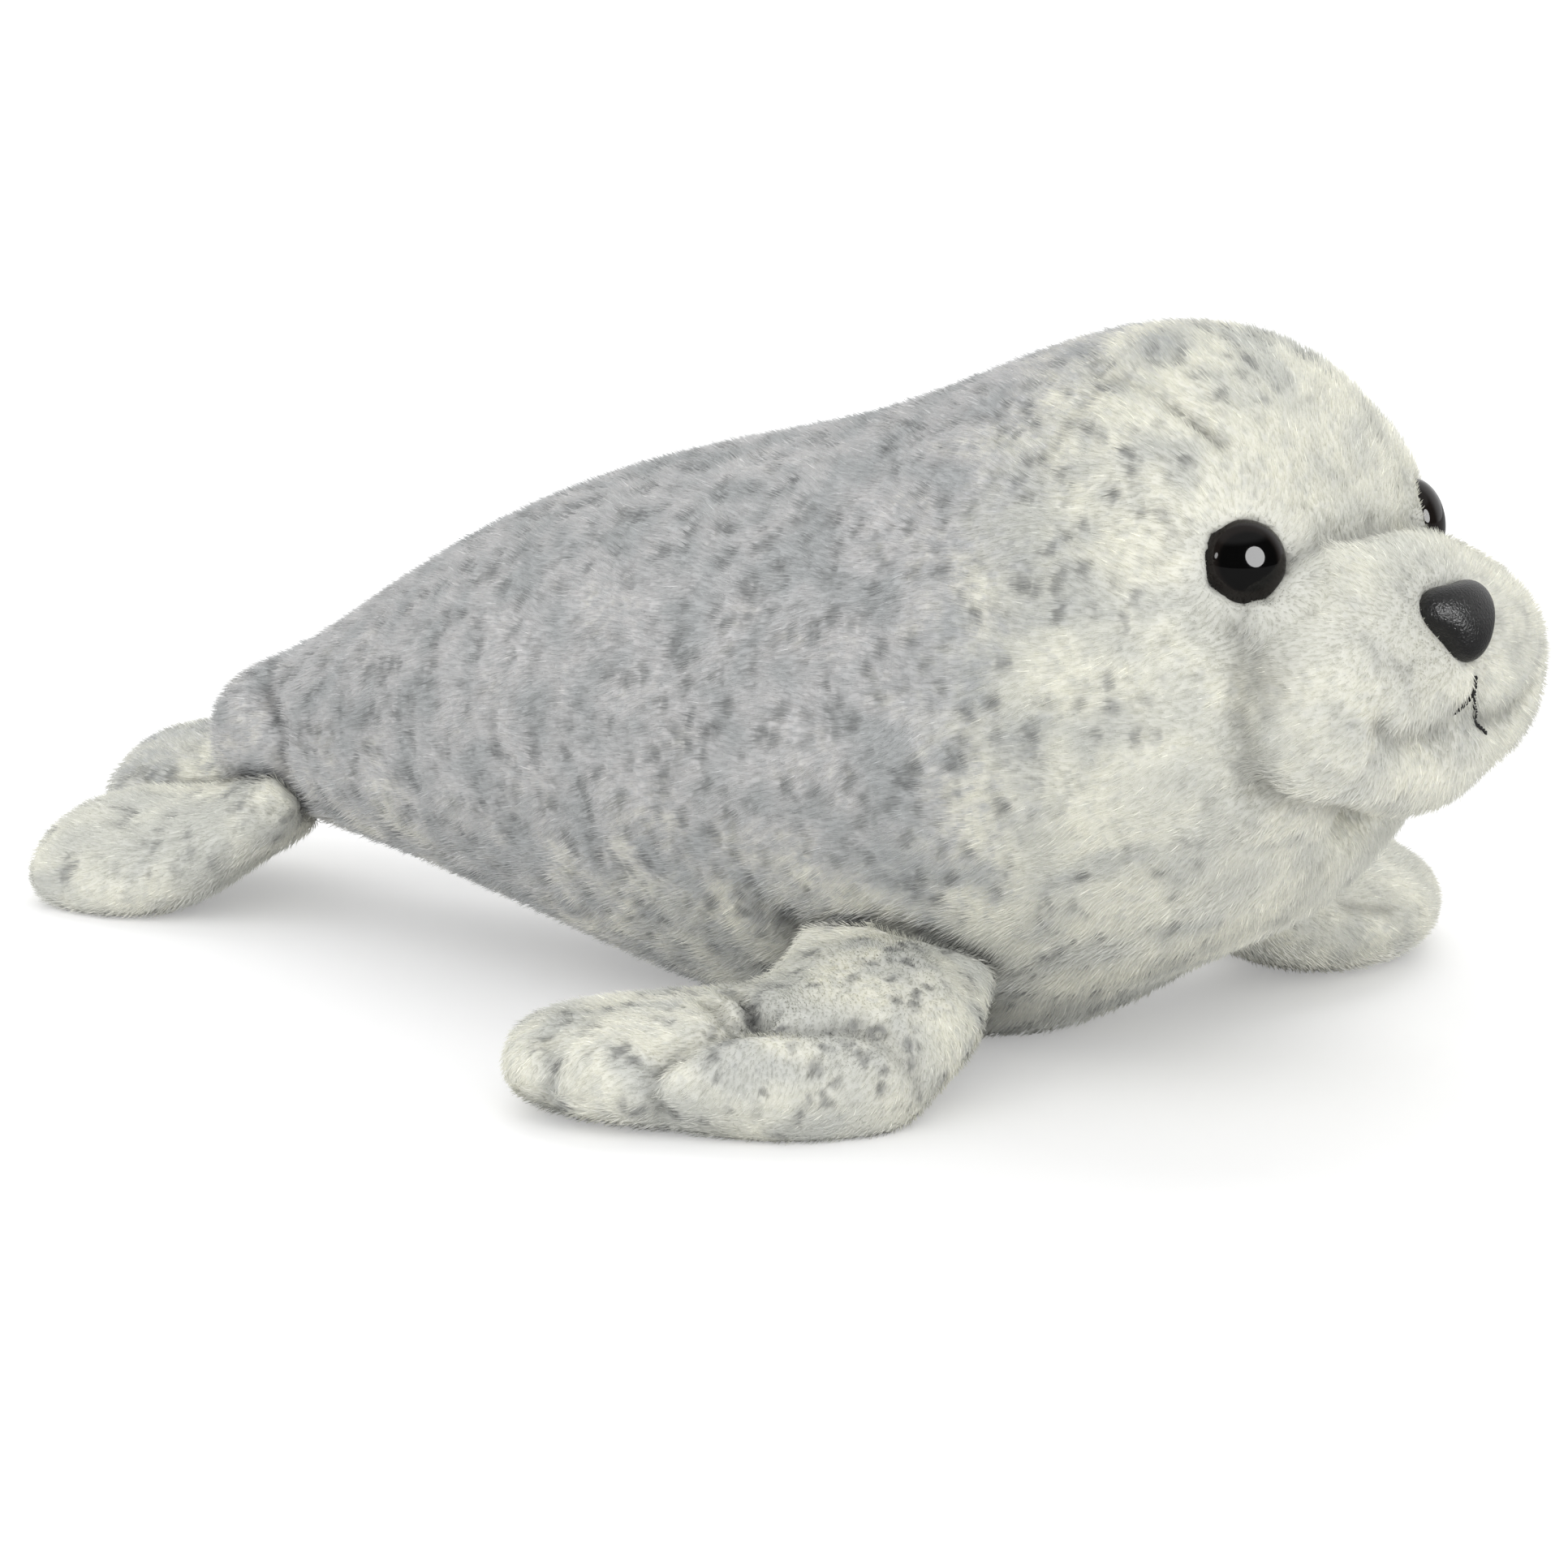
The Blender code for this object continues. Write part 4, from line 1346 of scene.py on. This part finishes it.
@dataclass
class MouthThread:
    """The sewn mouth: two plies of thread twisted together, in an upside-down Y."""

    top: Vector
    spread: float
    drop: float
    stem: float = 0.0036
    wider: float = 0.0022
    lower: float = 0.0012
    bow: float = 0.0010
    thickness: float = 0.00090
    twist: float = 0.0020
    lift: float = 0.00040
    sunk: float = 0.00120
    sunk_range: tuple = (0.15, 0.50)
    steps: int = 28

    @classmethod
    def from_box(cls, low: Vector, high: Vector) -> "MouthThread":
        """Places the mouth by its node's box.

        Args:
            low: The box's lowest corner.
            high: The box's highest corner.

        Returns:
            The mouth, not yet built.
        """
        top = Vector((high.x, 0.5 * (low.y + high.y), high.z))
        drop = high.z - low.z - cls.stem + cls.lower
        return cls(top, 0.5 * (high.y - low.y) + cls.wider, drop)

    def lines(self, tree: BVHTree) -> list[list[Vector]]:
        """Finds the three runs of thread on the skin.

        Args:
            tree: The skin's search tree.

        Returns:
            The points of the stem and of each branch.
        """
        fork = self.top - Vector((0.0, 0.0, self.stem))
        runs = [(self.top, 0.0, 0.0)]
        for side, sunk in ((Side.RIGHT, self.sunk), (Side.LEFT, 0.0)):
            end = fork + Vector((0.0, side.value * self.spread, -self.drop))
            runs.append((end, self.bow, sunk))
        shares = np.linspace(0.0, 1.0, self.steps)
        return [[self.on_skin(tree, fork, share, *run) for share in shares] for run in runs]

    def on_skin(
        self, tree: BVHTree, start: Vector, share: float, end: Vector, bow: float, sunk: float,
    ) -> Vector:
        """Finds one point of a run on the skin.

        Args:
            tree: The skin's search tree.
            start: The run's start.
            share: How far along it the point is.
            end: The run's end.
            bow: How far its middle hangs down.
            sunk: How far its outer part is drawn into the plush.

        Returns:
            The point, just over the skin or, where it is drawn in, under it.
        """
        flat = start.lerp(end, share) - Vector((0.0, 0.0, bow * math.sin(math.pi * share)))
        ahead = Vector((end.x + 0.05, flat.y, flat.z))
        spot, normal, _index, _distance = tree.ray_cast(ahead, Vector((-1.0, 0.0, 0.0)))
        return spot + normal * (self.lift - sunk * float(smooth_step(share, *self.sunk_range)))

    def build(self, tree: BVHTree, finish: bpy.types.Material) -> bpy.types.Object:
        """Twists the plies along each run.

        Args:
            tree: The skin's search tree.
            finish: The thread's material.

        Returns:
            The mouth.
        """
        data = bpy.data.curves.new("mouth_thread", "CURVE")
        data.dimensions = "3D"
        data.bevel_depth = 0.25 * self.thickness
        data.bevel_resolution = 2
        data.use_fill_caps = True
        for line in self.lines(tree):
            for ply in (0.0, math.pi):
                spline = data.splines.new("POLY")
                points = self.twisted(line, ply)
                spline.points.add(len(points) - 1)
                for point, place in zip(spline.points, points):
                    point.co = (*place, 1.0)
        holder = bpy.data.objects.new("mouth_thread", data)
        bpy.context.scene.collection.objects.link(holder)
        mesh = applied_mesh(holder)
        bpy.data.objects.remove(holder, do_unlink=True)
        face_outward(mesh)
        piece = link_object("mouth_thread", mesh)
        dress(piece, finish)
        return piece

    def twisted(self, line: list[Vector], start: float) -> list[Vector]:
        """Winds one ply around a run.

        Args:
            line: The run's points.
            start: The angle at which the ply starts.

        Returns:
            The ply's points.
        """
        points = []
        travelled = 0.0
        for index in range(len(line) - 1):
            along = line[index + 1] - line[index]
            forward = along.normalized()
            aside = forward.cross(Vector((1.0, 0.0, 0.0))).normalized()
            outward = aside.cross(forward)
            for step in range(4):
                share = step / 4.0
                angle = start + 2.0 * math.pi * (travelled + along.length * share) / self.twist
                offset = (aside * math.cos(angle) + outward * math.sin(angle)) * 0.25 * self.thickness
                points.append(line[index] + along * share + offset)
            travelled += along.length
        return points


@dataclass(frozen=True)
class Studio:
    """The pale floor, the soft lamps and the surroundings."""

    floor_size: float = 12.0
    floor_albedo: float = 0.86
    seen_albedo: float = 0.75
    seen_glow: float = 0.30
    mirrored_albedo: float = 0.30
    sky: float = 0.60
    ceiling_edge: tuple = (0.62, 0.80)
    ceiling_glow: float = 0.45
    wall_glow: float = 0.04
    backdrop_turn: float = 0.78
    backdrop_edge: tuple = (-0.2, 0.6)

    def build(self) -> None:
        """Adds the floor, lamps and surroundings."""
        self.floor()
        self.sun("key", (0.25, -0.62, 0.74), 0.50, 70.0)
        self.sun("right_fill", (0.87, -0.42, 0.25), 1.02, 90.0)
        self.sun("left_fill", (-0.62, -0.68, 0.38), 0.62, 90.0)
        self.sun("back", (-0.42, 0.62, 0.66), 1.25, 60.0)
        self.glint("front_softbox", (0.889, -0.330, 0.318), 17.0, 36.0)
        self.glint("side_window", (-0.309, -0.896, 0.321), 10.0, 11.0)
        self.surroundings()

    def floor(self) -> None:
        """Adds the floor: white to the camera but for the shadow, and pale as a reflector."""
        shape = bmesh.new()
        bmesh.ops.create_grid(shape, x_segments=1, y_segments=1, size=0.5 * self.floor_size)
        mesh = made_mesh("floor", shape)
        piece = link_object("floor", mesh)
        made = bpy.data.materials.new("pale_floor")
        made.use_nodes = True
        graph = Graph(made.node_tree)
        graph.tree.nodes.clear()
        path = graph.add("ShaderNodeLightPath").outputs
        seen = path["Is Camera Ray"]
        brighter = self.seen_albedo - self.floor_albedo
        albedo = graph.maths("MULTIPLY_ADD", seen, brighter, self.floor_albedo)
        mirrored = self.mirrored_albedo - self.floor_albedo
        albedo = graph.maths("MULTIPLY_ADD", path["Is Glossy Ray"], mirrored, albedo)
        tint = graph.add("ShaderNodeCombineXYZ", {0: albedo, 1: albedo, 2: albedo}).outputs[0]
        cloth = graph.add("ShaderNodeBsdfDiffuse", {"Color": tint})
        glow = graph.add("ShaderNodeEmission", {"Strength": graph.times(seen, self.seen_glow)})
        both = graph.add("ShaderNodeAddShader", {0: cloth.outputs[0], 1: glow.outputs[0]})
        graph.add("ShaderNodeOutputMaterial", {"Surface": both.outputs[0]})
        mesh.materials.append(made)

    @staticmethod
    def lamp(name: str, towards: tuple, strength: float, spread: float) -> bpy.types.Object:
        """Adds a far lamp.

        Args:
            name: The lamp's name.
            towards: The direction that it stands in.
            strength: How strong it is.
            spread: How wide it looks, in degrees.

        Returns:
            The lamp.
        """
        data = bpy.data.lights.new(name, "SUN")
        data.energy = strength
        data.angle = math.radians(spread)
        lamp = bpy.data.objects.new(name, data)
        bpy.context.scene.collection.objects.link(lamp)
        lamp.rotation_euler = Vector(towards).to_track_quat("Z", "Y").to_euler()
        return lamp

    def sun(self, name: str, towards: tuple, strength: float, spread: float) -> None:
        """Adds a broad soft lamp that no polished surface mirrors; see lamp() for its values."""
        self.lamp(name, towards, strength, spread).visible_glossy = False

    def glint(self, name: str, towards: tuple, brightness: float, spread: float) -> None:
        """Adds a lamp that shows only in polished surfaces."""
        face = math.pi * math.sin(0.5 * math.radians(spread)) ** 2
        self.lamp(name, towards, brightness * face, spread).visible_diffuse = False

    def surroundings(self) -> None:
        """Makes the surroundings: white to the camera, even as light, and a dim room in reflections."""
        world = bpy.data.worlds.new("studio")
        bpy.context.scene.world = world
        world.use_nodes = True
        graph = Graph(world.node_tree)
        graph.tree.nodes.clear()
        path = graph.add("ShaderNodeLightPath").outputs
        direction = graph.add("ShaderNodeTexCoord").outputs["Generated"]
        east, north, up = graph.add("ShaderNodeSeparateXYZ", {0: direction}).outputs
        ceiling = graph.step(up, *self.ceiling_edge)
        room = graph.plus(graph.times(ceiling, self.ceiling_glow), self.wall_glow)
        behind = graph.maths("SUBTRACT", north, graph.times(east, self.backdrop_turn))
        shown = graph.maths("MAXIMUM", room, graph.step(behind, *self.backdrop_edge))
        glossy = graph.times(path["Is Glossy Ray"], graph.maths("SUBTRACT", shown, self.sky))
        camera = graph.times(path["Is Camera Ray"], 1.0 - self.sky)
        strength = graph.plus(graph.plus(glossy, camera), self.sky)
        light = graph.add("ShaderNodeBackground", {"Color": (1.0, 1.0, 1.0, 1.0), "Strength": strength})
        graph.add("ShaderNodeOutputWorld", {"Surface": light.outputs[0]})


BODY_CREASES = (
    Crease(((1590, 692), (1612, 678), (1640, 662), (1690, 650), (1738, 646)),
           0.0032, 0.0022, 0.35, both_sides=True),
    Crease(((1522, 772), (1531, 800), (1527, 850), (1530, 900), (1538, 945), (1552, 980)),
           0.0046, 0.0022, 0.35, both_sides=True),
    Crease(((1552, 980), (1575, 994), (1600, 1001), (1640, 1004), (1690, 1005), (1735, 1002), (1775, 996)),
           0.0058, 0.0046, 0.45, both_sides=True),
    Crease(((1292, 572), (1312, 545), (1340, 512), (1372, 482)), 0.0022, 0.0010, 0.25, both_sides=True),
    Crease(((1350, 475), (1410, 490), (1445, 508), (1475, 530), (1505, 556)),
           0.0020, 0.0010, 0.30, both_sides=True),
    Crease(((1446, 510), (1475, 530), (1500, 552)), 0.0014, 0.0008, 0.85, both_sides=True),
    Crease(((1805, 818), (1806, 838), (1806, 857)), 0.0024, 0.0005, 0.20),
    Crease(((1806, 857), (1790, 876), (1768, 898)), 0.0026, 0.0008, 0.22, both_sides=True),
    Crease(((1768, 898), (1740, 911), (1712, 911), (1698, 894)), 0.0032, 0.0026, 0.40, both_sides=True),
    Crease(((978, 1182), (1010, 1150), (1080, 1136), (1150, 1150), (1185, 1182), (1215, 1245)),
           0.0034, 0.0018, 0.60, both_sides=True),
    Crease(((335, 850), (350, 897), (353, 949), (344, 1002)), 0.0032, 0.0028, 0.60),
)

BODY_DENTS = (
    Dent((1400, 440), 0.0400, -0.0016, both_sides=True),
    Dent((1790, 664), 0.0150, 0.0022),
    Dent((1600, 850), 0.0150, -0.0022, both_sides=True),
    Dent((1730, 800), 0.0130, -0.0012, both_sides=True),
    Dent((1806, 862), 0.0150, -0.0030),
    Dent((1775, 848), 0.0050, -0.0010, both_sides=True),
    Dent((1780, 930), 0.0080, -0.0012),
    Dent((1528, 905), 0.0060, 0.0014, 0.2, both_sides=True),
    # These two mark grey patches beside the cheek crease, partly print and partly painted shade.
    Dent((1556, 838), 0.0120, 0.0, 0.46, both_sides=True),
    Dent((1545, 940), 0.0090, 0.0, 0.30, both_sides=True),
    Dent((1692, 637), 0.0030, 0.0014, 0.5),
    Dent((1652, 655), 0.0030, 0.0012, 0.4),
    Dent((972, 1145), 0.0075, 0.0036, 0.75, both_sides=True),
    Dent((1535, 1000), 0.0070, -0.0022, both_sides=True),
    Dent((1480, 960), 0.0140, -0.0012, both_sides=True),
    Dent((1440, 1215), 0.0250, 0.0028, both_sides=True),
    Dent((300, 880), 0.0160, -0.0050),
)


EYE_ROOM = (0.0098, 0.0170, 0.0030)
NOSE_ROOM = (0.0104, 0.0170, 0.0004)


@dataclass
class SealBody:
    """The head, muzzle and trunk."""

    view: PhotoView
    eyes: tuple
    nose: NosePiece
    mouth: np.ndarray
    seat_depth: float = -0.0004
    nose_rim: float = 0.0007
    rim_reach: float = 0.012
    mouth_bare: float = 0.0015
    lie: tuple = (-0.55, 0.0, -0.12)
    snout_back: float = 0.004
    hide: Hide | None = None

    def build(self, source: bpy.types.Object, backing: bpy.types.Material) -> Hide:
        """Builds the skin of the body.

        Args:
            source: The body's node.
            backing: The fabric under the pile.

        Returns:
            The skin.
        """
        self.hide = Hide("body_hide", "body", 0.0038, 9, self.view, BODY_CREASES, BODY_DENTS)
        plugs = [(eye, *EYE_ROOM) for eye in self.eyes]
        self.hide.form(source, (*plugs, (self.nose.fitting, *NOSE_ROOM)))
        self.seat_fittings()
        self.hide.above_floor()
        self.hide.relax(1, 0.4)
        self.hide.above_floor()
        self.comb()
        dress(self.hide.piece, backing)
        return self.hide

    def seat_fittings(self) -> None:
        """Brings the skin to the rims of the eyes and the nose, and flat behind them."""
        mesh = self.hide.piece.data
        points = read_points(mesh)
        for eye in self.eyes:
            height = eye.local(points)[1]
            near = (eye.beyond(points) < 0.0) & (np.abs(height) < self.rim_reach)
            drop = np.where(near, np.minimum(height, self.seat_depth) - height, 0.0)
            points = points + drop[:, None] * np.array(eye.axis)
        beyond = self.nose.beyond(points)
        height = self.nose.fitting.local(points)[1]
        rim = smooth_step(beyond, -0.0010, 0.0004)
        wanted = self.seat_depth + rim * (self.nose_rim - self.seat_depth)
        near = smooth_step(beyond, 0.0060, 0.0010) * (np.abs(height) < 0.010)
        points = points + (near * (wanted - height))[:, None] * np.array(self.nose.fitting.axis)
        write_points(mesh, points)

    def comb(self) -> None:
        """Keeps what the pile needs at each point: its way, its length and its density."""
        points = read_points(self.hide.piece.data)
        nose = self.nose.fitting
        snout = np.array(nose.back) - np.array(nose.axis) * self.snout_back
        flow = unit(points - snout) + np.array(self.lie)
        for eye in self.eyes:
            outward = unit(points - np.array(eye.back))
            across, height = eye.local(points)
            near = smooth_step(across, 0.024, 0.011) * (np.abs(height) < 0.015)
            flow = flow * (1.0 - near[:, None]) + outward * near[:, None]
        self.hide.comb(flow)
        behind = self.view.front - points[:, 0]
        length = 1.0 - 0.15 * smooth_step(behind, 0.070, 0.025)
        length *= 1.0 - 0.40 * self.hide.read("fold")
        density = np.ones(len(points))
        for height, beyond in (
            *((eye.local(points)[1], eye.beyond(points)) for eye in self.eyes),
            (nose.local(points)[1], self.nose.beyond(points)),
        ):
            close = np.abs(height) < self.rim_reach
            length *= np.where(close, 1.0 - 0.50 * smooth_step(beyond, 0.004, 0.0), 1.0)
            density *= np.where(close & (beyond < -0.0006), 0.0, 1.0)
        shown = self.mouth[self.mouth[:, 1] > self.view.middle - self.mouth_bare]
        thread = self.hide.distances(points, shown)
        length *= 1.0 - 0.65 * smooth_step(thread, 0.0028, 0.0012)
        density *= smooth_step(thread, 0.0004, 0.0012)
        density *= 1.0 - 0.75 * self.hide.underside(0.030, 0.005)
        self.hide.store("pile", length)
        self.hide.store("density", density)
        belly = 0.35 + 0.55 * smooth_step(behind, 0.230, 0.110)
        belly *= smooth_step(points[:, 2], 0.066, 0.014)
        self.hide.store("saddle", smooth_step(behind, 0.046, 0.118) * (1.0 - belly))
        self.hide.store("spots", 0.34 + 0.66 * smooth_step(behind, 0.028, 0.060))


@dataclass
class SealFlipper:
    """One stuffed flipper."""

    node: str
    view: PhotoView
    root: Vector
    creases: tuple = ()
    dents: tuple = ()
    # On the far flippers, saddle and spots also stand for painted shade and painted light.
    saddle: float = 0.0
    spots: float = 1.0
    hide: Hide | None = None

    def build(self, source: bpy.types.Object, backing: bpy.types.Material) -> Hide:
        """Builds the flipper's skin.

        Args:
            source: The flipper's node.
            backing: The fabric under the pile.

        Returns:
            The skin.
        """
        name = f"{self.node}_hide"
        self.hide = Hide(name, self.node, 0.0032, 5, self.view, self.creases, self.dents)
        self.hide.form(source)
        self.hide.above_floor()
        self.comb()
        dress(self.hide.piece, backing)
        return self.hide

    def comb(self) -> None:
        """Keeps what the pile needs at each point; it is combed from the root to the tip."""
        points = read_points(self.hide.piece.data)
        self.hide.comb(unit(points - np.array(self.root)))
        self.hide.store("pile", 0.82 * (1.0 - 0.45 * self.hide.read("fold")))
        self.hide.store("density", 1.0 - 0.7 * self.hide.underside(0.020, 0.004))
        self.hide.store("saddle", np.full(len(points), self.saddle))
        self.hide.store("spots", np.full(len(points), self.spots))


FLIPPER_CREASES = {
    "right_front_flipper": (
        Crease(((1018, 1134), (1060, 1130), (1120, 1138), (1186, 1170), (1218, 1212), (1216, 1262),
                (1196, 1312)), 0.0100, 0.0044, 0.0),
        Crease(((905, 1228), (922, 1244), (938, 1270)), 0.0026, 0.0034, 1.0),
        Crease(((872, 1238), (890, 1262), (905, 1275)), 0.0024, 0.0022, 0.55),
        Crease(((822, 1300), (860, 1290), (900, 1281), (945, 1283), (992, 1286), (1053, 1281), (1085, 1284)),
               0.0028, 0.0020, 0.36),
        Crease(((807, 1322), (824, 1309), (846, 1303)), 0.0020, 0.0016, 0.75),
        Crease(((1061, 1289), (1092, 1308), (1111, 1324)), 0.0022, 0.0008, 0.30),
        Crease(((1000, 1372), (1060, 1358), (1112, 1338)), 0.0018, -0.0008, 0.0),
        Crease(((680, 1281), (687, 1325), (678, 1350)), 0.0024, 0.0008, 0.22),
        Crease(((808, 1322), (803, 1345), (815, 1366)), 0.0026, 0.0016, 0.35),
    ),
    "left_front_flipper": (
        Crease(((1653, 1116), (1711, 1123), (1768, 1134)), 0.0022, 0.0012, 0.45),
    ),
    "right_hind_flipper": (
        Crease(((338, 952), (372, 985), (382, 1012), (366, 1034), (335, 1052)), 0.0120, 0.0022, 0.0),
        Crease(((120, 972), (189, 982), (264, 975)), 0.0030, 0.0012, 0.20),
    ),
    "left_hind_flipper": (),
}
FLIPPER_DENTS = {
    "right_front_flipper": (
        Dent((934, 1262), 0.0042, 0.0046, 1.0),
        Dent((900, 1250), 0.0040, -0.0022),
        Dent((740, 1310), 0.0090, -0.0014),
        Dent((940, 1335), 0.0120, -0.0016),
        Dent((1080, 1215), 0.0120, -0.0014),
        Dent((1000, 1378), 0.0200, -0.0060),
        Dent((1090, 1350), 0.0160, -0.0030),
        Dent((675, 1358), 0.0030, 0.0010, 0.5),
        Dent((815, 1368), 0.0030, 0.0010, 0.5),
    ),
    "left_front_flipper": (),
    "right_hind_flipper": (
        Dent((200, 1030), 0.0120, -0.0012),
    ),
    "left_hind_flipper": (),
}
# The far front flipper's few spots are partly its print and partly painted light, which makes it lighter.
FLIPPER_SPOTS = {
    "right_front_flipper": 1.0, "left_front_flipper": 0.35,
    "right_hind_flipper": 0.8, "left_hind_flipper": 0.8,
}
# The far hind flipper's grey is partly print and partly painted shade.
FLIPPER_SADDLES_AND_SHADE = {"left_hind_flipper": 0.4}


def build_flippers(view: PhotoView, nodes: dict, backing: bpy.types.Material) -> list[Hide]:
    """Builds the skins of the four flippers.

    Args:
        view: The photograph's viewpoint.
        nodes: The frame's nodes.
        backing: The fabric under the pile.

    Returns:
        The skins.
    """
    hides = []
    for node, spots in FLIPPER_SPOTS.items():
        low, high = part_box(node)
        middle = 0.5 * (low + high)
        root = Vector((high.x + 0.01, view.middle, middle.z))
        if "front" in node:
            root = Vector((middle.x + 0.01, high.y if node.startswith("right") else low.y, 0.035))
        flipper = SealFlipper(
            node, view, root, FLIPPER_CREASES[node], FLIPPER_DENTS[node],
            FLIPPER_SADDLES_AND_SHADE.get(node, 0.0), spots,
        )
        hides.append(flipper.build(nodes[node], backing))
    return hides


def grow_piles(pile: Pile, finish: bpy.types.Material, body: Hide, flippers: list[Hide], middle: float) -> None:
    """Grows the pile of every skin, the body's in four parts.

    Args:
        pile: The pile's measures.
        finish: The pile's material.
        body: The body's skin.
        flippers: The flippers' skins.
        middle: The Y of the seal's middle plane.
    """
    tree = pile.tree()
    strand = pile.strand()
    points = read_points(body.piece.data)
    head = smooth_step(points[:, 0], 0.085, 0.087)
    right = smooth_step(points[:, 1], middle + 0.001, middle - 0.001)
    parts = {
        "right_head_pile": head * right, "left_head_pile": head * (1.0 - right),
        "right_trunk_pile": (1.0 - head) * right, "left_trunk_pile": (1.0 - head) * (1.0 - right),
    }
    for number, (name, share) in enumerate(parts.items()):
        grown = pile.grow(tree, strand, body, name, finish, 11 + number, share)
        finish_piece(grown, Slot.SPOTTED)
    for number, hide in enumerate(flippers):
        grown = pile.grow(tree, strand, hide, f"{hide.node}_pile", finish, 31 + number)
        finish_piece(grown, Slot.PALE)
    bpy.data.objects.remove(strand, do_unlink=True)


def build_face(nodes: dict, eyes: tuple, nose: NosePiece, skin: bpy.types.Object) -> None:
    """Builds the eyes, the nose and the mouth, and gives the washers their plastic.

    Args:
        nodes: The frame's nodes.
        eyes: Where the eyes sit, right and left.
        nose: The nose, not yet built.
        skin: The body's skin.
    """
    gloss = MouldedFinish("black_gloss", srgb(6, 6, 6), 0.05, srgb(27, 23, 21), refraction=1.38)
    grained = MouldedFinish("black_grained", srgb(13, 13, 14), 0.37, grain=1.0, refraction=1.52)
    thread = MouldedFinish("black_thread", srgb(24, 24, 24), 0.85, grain=0.6)
    polished = gloss.build()
    for side, fitting in zip(Side, eyes):
        piece = EyePiece(side, fitting).build(polished)
        finish_piece(piece, Slot.GLOSS, f"{side.name.lower()}_eye")
    finish_piece(nose.build(grained.build()), Slot.GRAINED, "nose")
    mouth = MouthThread.from_box(*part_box("mouth_stitch"))
    sewn = mouth.build(surface_tree(skin.data), thread.build())
    finish_piece(sewn, Slot.THREAD, "mouth_stitch")
    nylon = MouldedFinish("white_nylon", srgb(226, 226, 222), 0.5, grain=0.1).build()
    for washer in ("right_eye_washer", "left_eye_washer", "nose_washer"):
        nodes[washer].data.materials.clear()
        nodes[washer].data.materials.append(nylon)


def main() -> None:
    """Builds every piece of the seal and its studio."""
    logging.basicConfig(level=logging.INFO, format="%(message)s")
    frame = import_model()
    nodes = frame["nodes"]
    eyes = tuple(
        Fitting.from_nodes(nodes[f"{side.name.lower()}_eye"], nodes[f"{side.name.lower()}_eye_washer"])
        for side in Side
    )
    nose = NosePiece.from_node(Fitting.from_nodes(nodes["nose"], nodes["nose_washer"]), nodes["nose"])
    view = PhotoView(front=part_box("body")[1].x, middle=0.5 * (eyes[0].back.y + eyes[1].back.y))
    view.build()
    Studio().build()

    pattern = SpottedPattern()
    plush = PlushFinish(pattern)
    backing = plush.backing()
    stitch = read_points(nodes["mouth_stitch"].data)
    body = SealBody(view, eyes, nose, stitch).build(nodes["body"], backing)
    flippers = build_flippers(view, nodes, backing)
    body.shade_contact(flippers)
    for hide in flippers:
        hide.shade_contact([body, *(other for other in flippers if other is not hide)])
    grow_piles(Pile(pattern), plush.pile(), body, flippers, view.middle)

    finish_piece(body.piece, Slot.SPOTTED, "body")
    for hide in flippers:
        finish_piece(hide.piece, Slot.PALE, hide.node)
    build_face(nodes, eyes, nose, body.piece)

    bpy.context.scene.view_settings.view_transform = "Standard"


if __name__ == "__main__":
    main()
